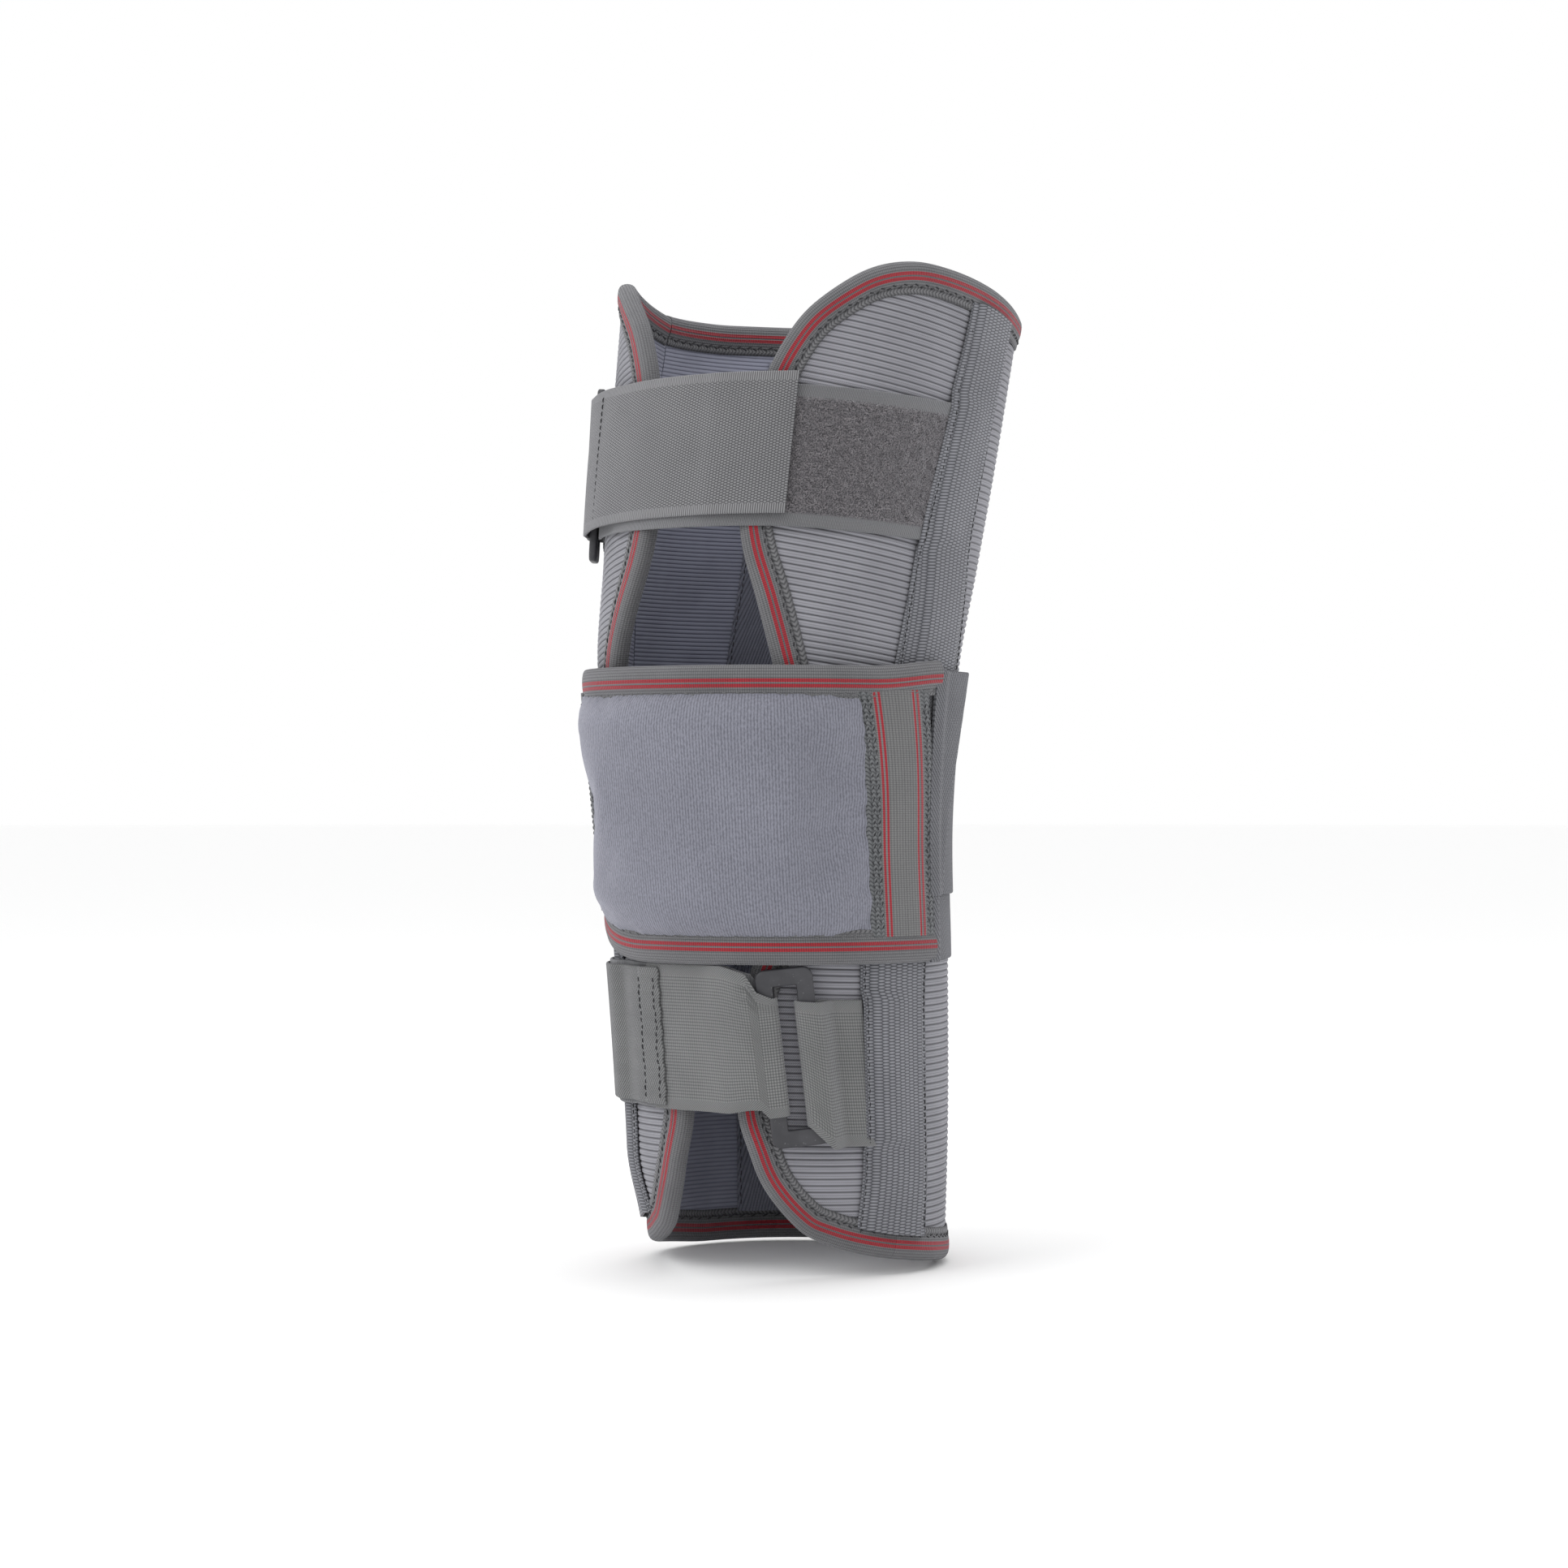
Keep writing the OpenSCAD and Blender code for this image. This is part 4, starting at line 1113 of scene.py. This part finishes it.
columns, rows = 62, 44
share_across = np.linspace(-1, 1, columns)[None, :]
v = np.linspace(0, 1, rows)[:, None]
t = share_across * (PAD_SIDE_HEM + 1)
z = pad_low(t) + 8.6 + (PAD_HIGH - 17.2 - pad_low(t)) * v
t = share_across * (PAD_SIDE_HEM + 1 - end_bow(z))
face = leg(t, z, cushion_height(t, v))
cushion = thick_grid("pad_cushion", face, leg(t, z, PAD_BASE + 1.1), pad_uv(t, z), sharp=180)
rest = np.array([p.co for p in cushion.data.vertices], float)
is_face = cloth_of(cushion.data)[:, 2] > 0.5
near_rim = np.ones((rows, columns), bool)
near_rim[1:-1, 1:-1] = False
pinned = np.where(is_face, 0.0, 1.0)
pinned[np.nonzero(is_face)[0][near_rim.ravel()]] = 1.0
moved = simulate(cushion, pinned)
kept = capped(rest, moved, 6 * MM)
cushion.data.vertices.foreach_set("co", kept.astype(np.float32).ravel())
cushion.data.update()
finer = cushion.modifiers.new("finer", "SUBSURF")
finer.levels = finer.render_levels = 1
piece(cushion, PLUSH, "pad", "pad_plush", "pad_cover", "pad_foam")


# ---- Straps and rings ----

UPPER_BASE_Z = [(-50, 293.6), (0, 293.8), (30, 293.6), (72, 290.2)]
UPPER_TAIL_Z = [(-50, 294.6), (-36, 296.6), (0, 297.8), (30, 298.2)]
LOWER_STRAP_Z = [(-80, 85.5), (-20, 86), (4, 85.9), (20, 85.0)]
LOWER_LOOP_H = (24.2, 3.7)         # half height and middle of the lower strap in its ring
BASE_START, TAIL_START = 5.1, 5.9      # where the layers lie free, from where the cloth turns


def lay(t):
    return 0.6 + 1.05 * ease((38 - np.abs(t)) / 8)


def lower_lay(t):
    return lay(t) + over_tape(t, 80.1)


def layer(mid, half, start, stop, d, count, h):
    """The middle points of a strap layer at places h across it, from start(h) to stop(h)."""
    u = np.linspace(0, 1, count)[:, None]
    t = start(h)[None, :] + (stop(h) - start(h))[None, :] * u
    z = mid(t) + half(t) * (h / (STRAP_W / 2))[None, :]
    return leg(t, z, d(t) + STRAP_T / 2)


def turning(flats, angles, sign):
    """The section of the cloth at a ring's bar, as (x, y) from where it begins to turn: its
    straight part, which lies next to the leg where sign is 1, then its turn round the bar."""
    return ([(x, sign * LOOP_R) for x in flats]
            + [(LOOP_R * math.cos(a), LOOP_R * math.sin(a)) for a in map(math.radians, angles)])


INNER_TURN = turning((3.5, 2.2, 1.0, 0), (112, 134, 157, 180), 1)
OUTER_TURN = turning((4.3, 2.8, 1.3, 0), (248, 226, 203, 180), -1)


def loop_points(place, side, section, heights):
    """Middle points of the cloth round a ring's bar, on the side given."""
    return placed(on_leg(place), [[(side * (loop_x(place) + x), y - place[3], h) for h in heights]
                                  for x, y in section])


def strip_uv(middle, places):
    run = lengths(middle[:, middle.shape[1] // 2])
    return pairs(run[:, None], places[None, :])


places, share = across(STRAP_W / 2, 24, 0.6)
fine, fine_share = across(STRAP_W / 2, 92, 0.6)
full = STRAP_W / 2
rng = np.random.default_rng(11)


def loops(shape, heights):
    """The tufts of a loop pile, between a strap's flat borders."""
    tuft = rng.normal(0, 1, shape)
    clump = rng.normal(0, 1, shape)
    for _ in range(3):
        clump = (clump + np.roll(clump, 1, 0) + np.roll(clump, 1, 1)
                 + np.roll(clump, (1, 1), (0, 1))) / 2
    return (0.3 + 0.16 * tuft + 0.07 * clump) * ease((20.6 - np.abs(heights)) / 0.7)[None, :]


def upper_half(t):
    return full * (1 + 0.01 * ease(1 - np.abs(t - UPPER_RING[0] - 10) / 20))


def anchor(h):
    z = 290 + h
    return side_t(z, 1) - side_half(z) + arc(3.5, z)


base = np.concatenate([
    layer(lambda t: curve(UPPER_BASE_Z, t), upper_half, anchor,
          lambda h: beside(UPPER_RING, loop_x(UPPER_RING) + BASE_START, h),
          lambda t: lay(t) + 0.5 * ease((-34 - t) / 12), 230, fine),
    loop_points(UPPER_RING, 1, INNER_TURN, fine * 1.01 + 0.3)])
upper_strap = ribbon("upper_loop_strap", base, STRAP_T, strip_uv(base, fine), fine_share,
                     loops(base.shape[:2], fine))
piece(upper_strap, PILE, None, "loop_strap", "upper_strap", "upper_strap_fold")
from_ring(UPPER_RING, 26, -2)
from_ring(UPPER_RING, 11, -2)
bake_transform(upper_strap)
declare(upper_strap)


def upper_tail_lay(t):
    """How far out the upper strap's end lies, rising to its ring."""
    return 3.25 + 3.65 * ease((-24 - t) / 25)


tail = np.concatenate([
    layer(lambda t: curve(UPPER_TAIL_Z, t), upper_half, lambda h: 28.5 + 0 * h,
          lambda h: beside(UPPER_RING, loop_x(UPPER_RING) + TAIL_START, h),
          lambda t: upper_tail_lay(t) + 0.85 * ease((t - 2) / 5), 60, places),
    loop_points(UPPER_RING, 1, OUTER_TURN, places * 1.01 + 0.6)])
tail = tail[::-1, ::-1]
upper_tail = ribbon("upper_strap_end", tail, STRAP_T, strip_uv(tail, places), share)
piece(upper_tail, TAIL, None, "strap_elastic", "upper_strap_tail")
from_ring(UPPER_RING, 7, -6.5)
from_ring(UPPER_RING, 14, -6.5)
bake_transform(upper_tail)
sewn_t = np.linspace(-1, 1, 60)
sewn_z = 296.2 + 24.0 * sewn_t
sewn_d = upper_tail_lay(-39.5) + STRAP_T + 0.02 + 0 * sewn_t
sewn = sew("upper_strap_end", [seam(-39.5 + 1.2 * sewn_t, sewn_z, sewn_d)],
           DARK_THREAD, "upper_tail", "strap_elastic", 2.6, 2.0, 0.45, 2)
declare(upper_tail)

t = np.linspace(9, 27, 16)[None, :]
h = np.linspace(-20.5, 20.5, 30)[:, None]
z = curve(UPPER_TAIL_Z, t) - 2 + h
patch = thick_grid("upper_hook_tape", leg(t, z, 3.95), leg(t, z, 3.3 + 0.1 * np.sin(h * 2.2)),
                   pairs(np.radians(t) * radius(295), h))
piece(patch, HOOK, "upper_tail", "hook", "upper_hook_patch")
declare(patch)


OUTER_STATIONS = 16                    # along a ring tab's outer layer


def stub_points(place, side, low_at, high_at, reach):
    """Middle points of a ring tab: its outer layer from the seam to the bar, round the bar,
    and back along the leg. low_at and high_at give its lower and upper edges at an x."""
    matrix = on_leg(place)
    r = float(radius(place[1]))
    over = place[3] + LOOP_R
    stations = []
    for x in np.linspace(reach, loop_x(place), OUTER_STATIONS):
        flat_y = x * x / (2 * r) - (0.45 + 1.5 * STRAP_T)
        raised = ease((place[4] / 2 + 6.1 - x) / 6)
        stations.append((x, flat_y * (1 - raised) - over * raised))
    for a in np.linspace(250, 110, 9):
        stations.append((loop_x(place) + LOOP_R * math.cos(math.radians(a)),
                         LOOP_R * math.sin(math.radians(a)) - place[3]))
    for x in np.linspace(loop_x(place), reach, 12):
        flat_y = x * x / (2 * r) - (0.45 + 0.5 * STRAP_T)
        low = ease((x - 9) / 5)
        stations.append((x, flat_y * low + (LOOP_R - place[3]) * (1 - low)))
    local = []
    for k, (x, y) in enumerate(stations):
        low, high = low_at(x), high_at(x)
        share = (places / full + 1) / 2
        z = low + (high - low) * share
        crumple = 1.1 * math.exp(-((x - 7) / 6) ** 2) * np.exp(-((share - 0.1) / 0.09) ** 2)
        crumple -= 0.8 * math.exp(-((x - 9) / 5) ** 2) * np.exp(-((share - 0.2) / 0.05) ** 2)
        outer = k < OUTER_STATIONS
        local.append(np.stack([side * x + 0 * z, y - outer * crumple, z], 1))
    return placed(matrix, np.array(local))


def stub_top(x):
    return 18.9 - 0.17 * (x - 12)


def stub_foot(x):
    return stub_top(x) - 53.5 + 7.6 * np.clip((11.5 - x) / 7.5, 0, 1)


stub = stub_points(LOWER_RING, 1, stub_foot, stub_top, 27)
stub_obj = ribbon("lower_ring_loop", stub, STRAP_T, strip_uv(stub, places), share)
piece(stub_obj, KNIT_STRAP, "wrap", "strap_elastic", "lower_ring_tab")
declare(stub_obj)
def tab_edge(x):
    return 25.3 - 0.8 * ease((12 - x) / 6)


tab = stub_points(UPPER_RING, -1, lambda x: -tab_edge(x), tab_edge, 18)
tab_obj = ribbon("upper_ring_loop", tab[:, ::-1], STRAP_T, strip_uv(tab, places), share)
piece(tab_obj, KNIT_STRAP, "wrap", "strap_elastic", "upper_ring_tab")
declare(tab_obj)


def lower_heights(h):
    return h / full * LOWER_LOOP_H[0] + LOWER_LOOP_H[1]


def lower_half(t):
    return 1.04 * full - (1.04 * full - LOWER_LOOP_H[0]) * ease((np.asarray(t, float) - 8) / 11)


base = np.concatenate([
    loop_points(LOWER_RING, -1, INNER_TURN[::-1], lower_heights(fine)),
    layer(lambda t: curve(LOWER_STRAP_Z, t), lower_half,
          lambda h: beside(LOWER_RING, -loop_x(LOWER_RING) - BASE_START, h), lambda h: -80 + 0 * h,
          lambda t: lower_lay(t) + 0.9 * ease((t - 4) / 14), 200, fine)])
lower_strap = ribbon("lower_loop_strap", base, STRAP_T, strip_uv(base, fine), fine_share,
                     0.6 * loops(base.shape[:2], fine))
piece(lower_strap, PILE, None, "loop_strap", "lower_strap", "lower_strap_fold")
from_ring(LOWER_RING, -26, -2)
from_ring(LOWER_RING, -11, -2)
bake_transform(lower_strap)
declare(lower_strap)


tail = np.concatenate([
    loop_points(LOWER_RING, -1, OUTER_TURN[::-1], lower_heights(places)),
    layer(lambda t: curve(LOWER_STRAP_Z, t), lower_half,
          lambda h: beside(LOWER_RING, -loop_x(LOWER_RING) - TAIL_START, h), lambda h: -22 + 0 * h,
          lambda t: 3.4 + 4.9 * ease((t + 2) / 22), 40, places)])
run = lengths(tail[:, len(places) // 2])
corner = ease((places - 13) / 12)[None, :] * np.clip((14 - run) / 11, 0, 1)[:, None]
fold = ease((places - 10) / 8)[None, :] * np.exp(-((run - 13) / 5) ** 2)[:, None]
up, out = np.array(on_leg(LOWER_RING))[:3, 2], -np.array(on_leg(LOWER_RING))[:3, 1]
ripples = np.sin(places[None, :] * 1.5 + run[:, None] * 0.35)
tail = (tail - up * (5.6 * corner * MM)[..., None]
        + out * ((0.9 * fold * ripples + 0.6 * corner) * MM)[..., None])
lower_tail = ribbon("lower_strap_end", tail, STRAP_T, strip_uv(tail, places), share)
piece(lower_tail, KNIT_STRAP, None, "strap_elastic", "lower_strap_tail")
from_ring(LOWER_RING, -7, -7.5)
from_ring(LOWER_RING, -14, -7.5)
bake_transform(lower_tail)
declare(lower_tail)


def tab_lay(t):
    return np.maximum(lower_lay(t) + STRAP_T + 0.4, 4.9 * ease((t + 29) / 5))


tab_places = places * (full - 0.5) / full
tab = layer(lambda t: curve(LOWER_STRAP_Z, t), lambda t: full + 0 * t,
            lambda h: -15 + 0.35 * np.sin(h * 0.9), lambda h: -76 + 0 * h, tab_lay, 50, tab_places)
hook_tab = ribbon("lower_hook_tab_cloth", tab, STRAP_T, strip_uv(tab, tab_places), share)
piece(hook_tab, HOOK_TAB, "lower_tail", "hook_tab", "lower_hook_tab")
h = np.linspace(-24, 24, 70)
lines = [seam(at + 0.3 * np.sin(h * 0.35), curve(LOWER_STRAP_Z, at) + h,
              tab_lay(at) + STRAP_T + 0.02 + 0 * h) for at in (-17.0, -24.5)]
sewn = sew("lower_hook_tab", lines, DARK_THREAD, "lower_tail", "hook_tab", 2.5, 2.0, 0.55, 10)
declare(hook_tab)


# Round a bar: the share of its width in from the outer edge, and of half its thickness.
HALF_SECTION = [(0, -0.5), (0.03, -0.82), (0.1, -1), (0.5, -1), (0.92, -1), (0.98, -0.85),
                (1, -0.6)]
RING_SECTION = HALF_SECTION + [(share, -face) for share, face in HALF_SECTION[::-1]]


def moulded_ring(name, node, place, drop):
    """A rectangular ring, hanging down by drop, with outer corners rounder than its inner ones."""
    corner = np.radians(np.arange(0, 91, 10))
    points = []
    for share, face in RING_SECTION:
        half_w, half_h = place[4] / 2 - RING_BAR * share, RING_H / 2 - RING_BAR * share
        r = 3.6 - 3.1 * share
        row = []
        for number, (sx, sz) in enumerate([(1, 1), (-1, 1), (-1, -1), (1, -1)]):
            angles = corner if number % 2 == 0 else corner[::-1]
            row += [(sx * (half_w - r + r * math.cos(a)), face * RING_T / 2 - place[3],
                     sz * (half_h - r + r * math.sin(a)) - drop) for a in angles]
        points.append(row)
    points = placed(on_leg(place), points)
    n, m = points.shape[:2]
    i, j = np.meshgrid(np.arange(n), np.arange(m), indexing="ij")
    this, after = i * m, (i + 1) % n * m
    quads = np.stack([this + j, this + (j + 1) % m, after + (j + 1) % m, after + j], -1)
    flat = points.reshape(-1, 3)
    obj = mesh_object(name, flat, quads.reshape(-1, 4), flat / MM, 50)
    piece(obj, RING, node, "ring_plastic", node)


moulded_ring("upper_moulded_ring", "upper_ring", UPPER_RING, 1.6)
moulded_ring("lower_moulded_ring", "lower_ring", LOWER_RING, 0.0)


# ---- Studio ----

bpy.ops.mesh.primitive_circle_add(vertices=96, radius=14, fill_type="NGON",
                                  location=(0, 0, -0.0015))
floor = bpy.context.object
floor.name = "studio_floor"
floor.data.materials.append(floor_material())

world = bpy.data.worlds.new("studio")
scene.world = world
world.use_nodes = True
background = world.node_tree.nodes["Background"]
background.inputs["Color"].default_value = (1, 1, 1, 1)
background.inputs["Strength"].default_value = 1.0


def softbox(name, place, target, size, power):
    light = bpy.data.lights.new(name, "AREA")
    light.shape = "RECTANGLE"
    light.size, light.size_y = size
    light.energy = power
    lamp = bpy.data.objects.new(name, light)
    lamp.location = place
    lamp.rotation_euler = (Vector(target) - Vector(place)).to_track_quat("-Z", "Y").to_euler()
    scene.collection.objects.link(lamp)


middle = (0, 0, 0.18)                  # metres, as the camera and the lamps are placed
softbox("key", (-0.7, -1.5, 1.5), middle, (1.2, 1.2), 13)
softbox("top", (0.0, 0.2, 1.6), middle, (0.8, 0.8), 5)

VIEW_AZIMUTH = 29
camera = bpy.data.objects.new("camera", bpy.data.cameras.new("camera"))
camera.location = (0.6316, -1.1547, 0.177)
camera.rotation_euler = (math.radians(90), 0, math.radians(VIEW_AZIMUTH))
camera.data.lens = 80.07
camera.data.sensor_width = 36
camera.data.clip_start = 0.01
scene.collection.objects.link(camera)
scene.camera = camera
scene.view_settings.view_transform = "Standard"
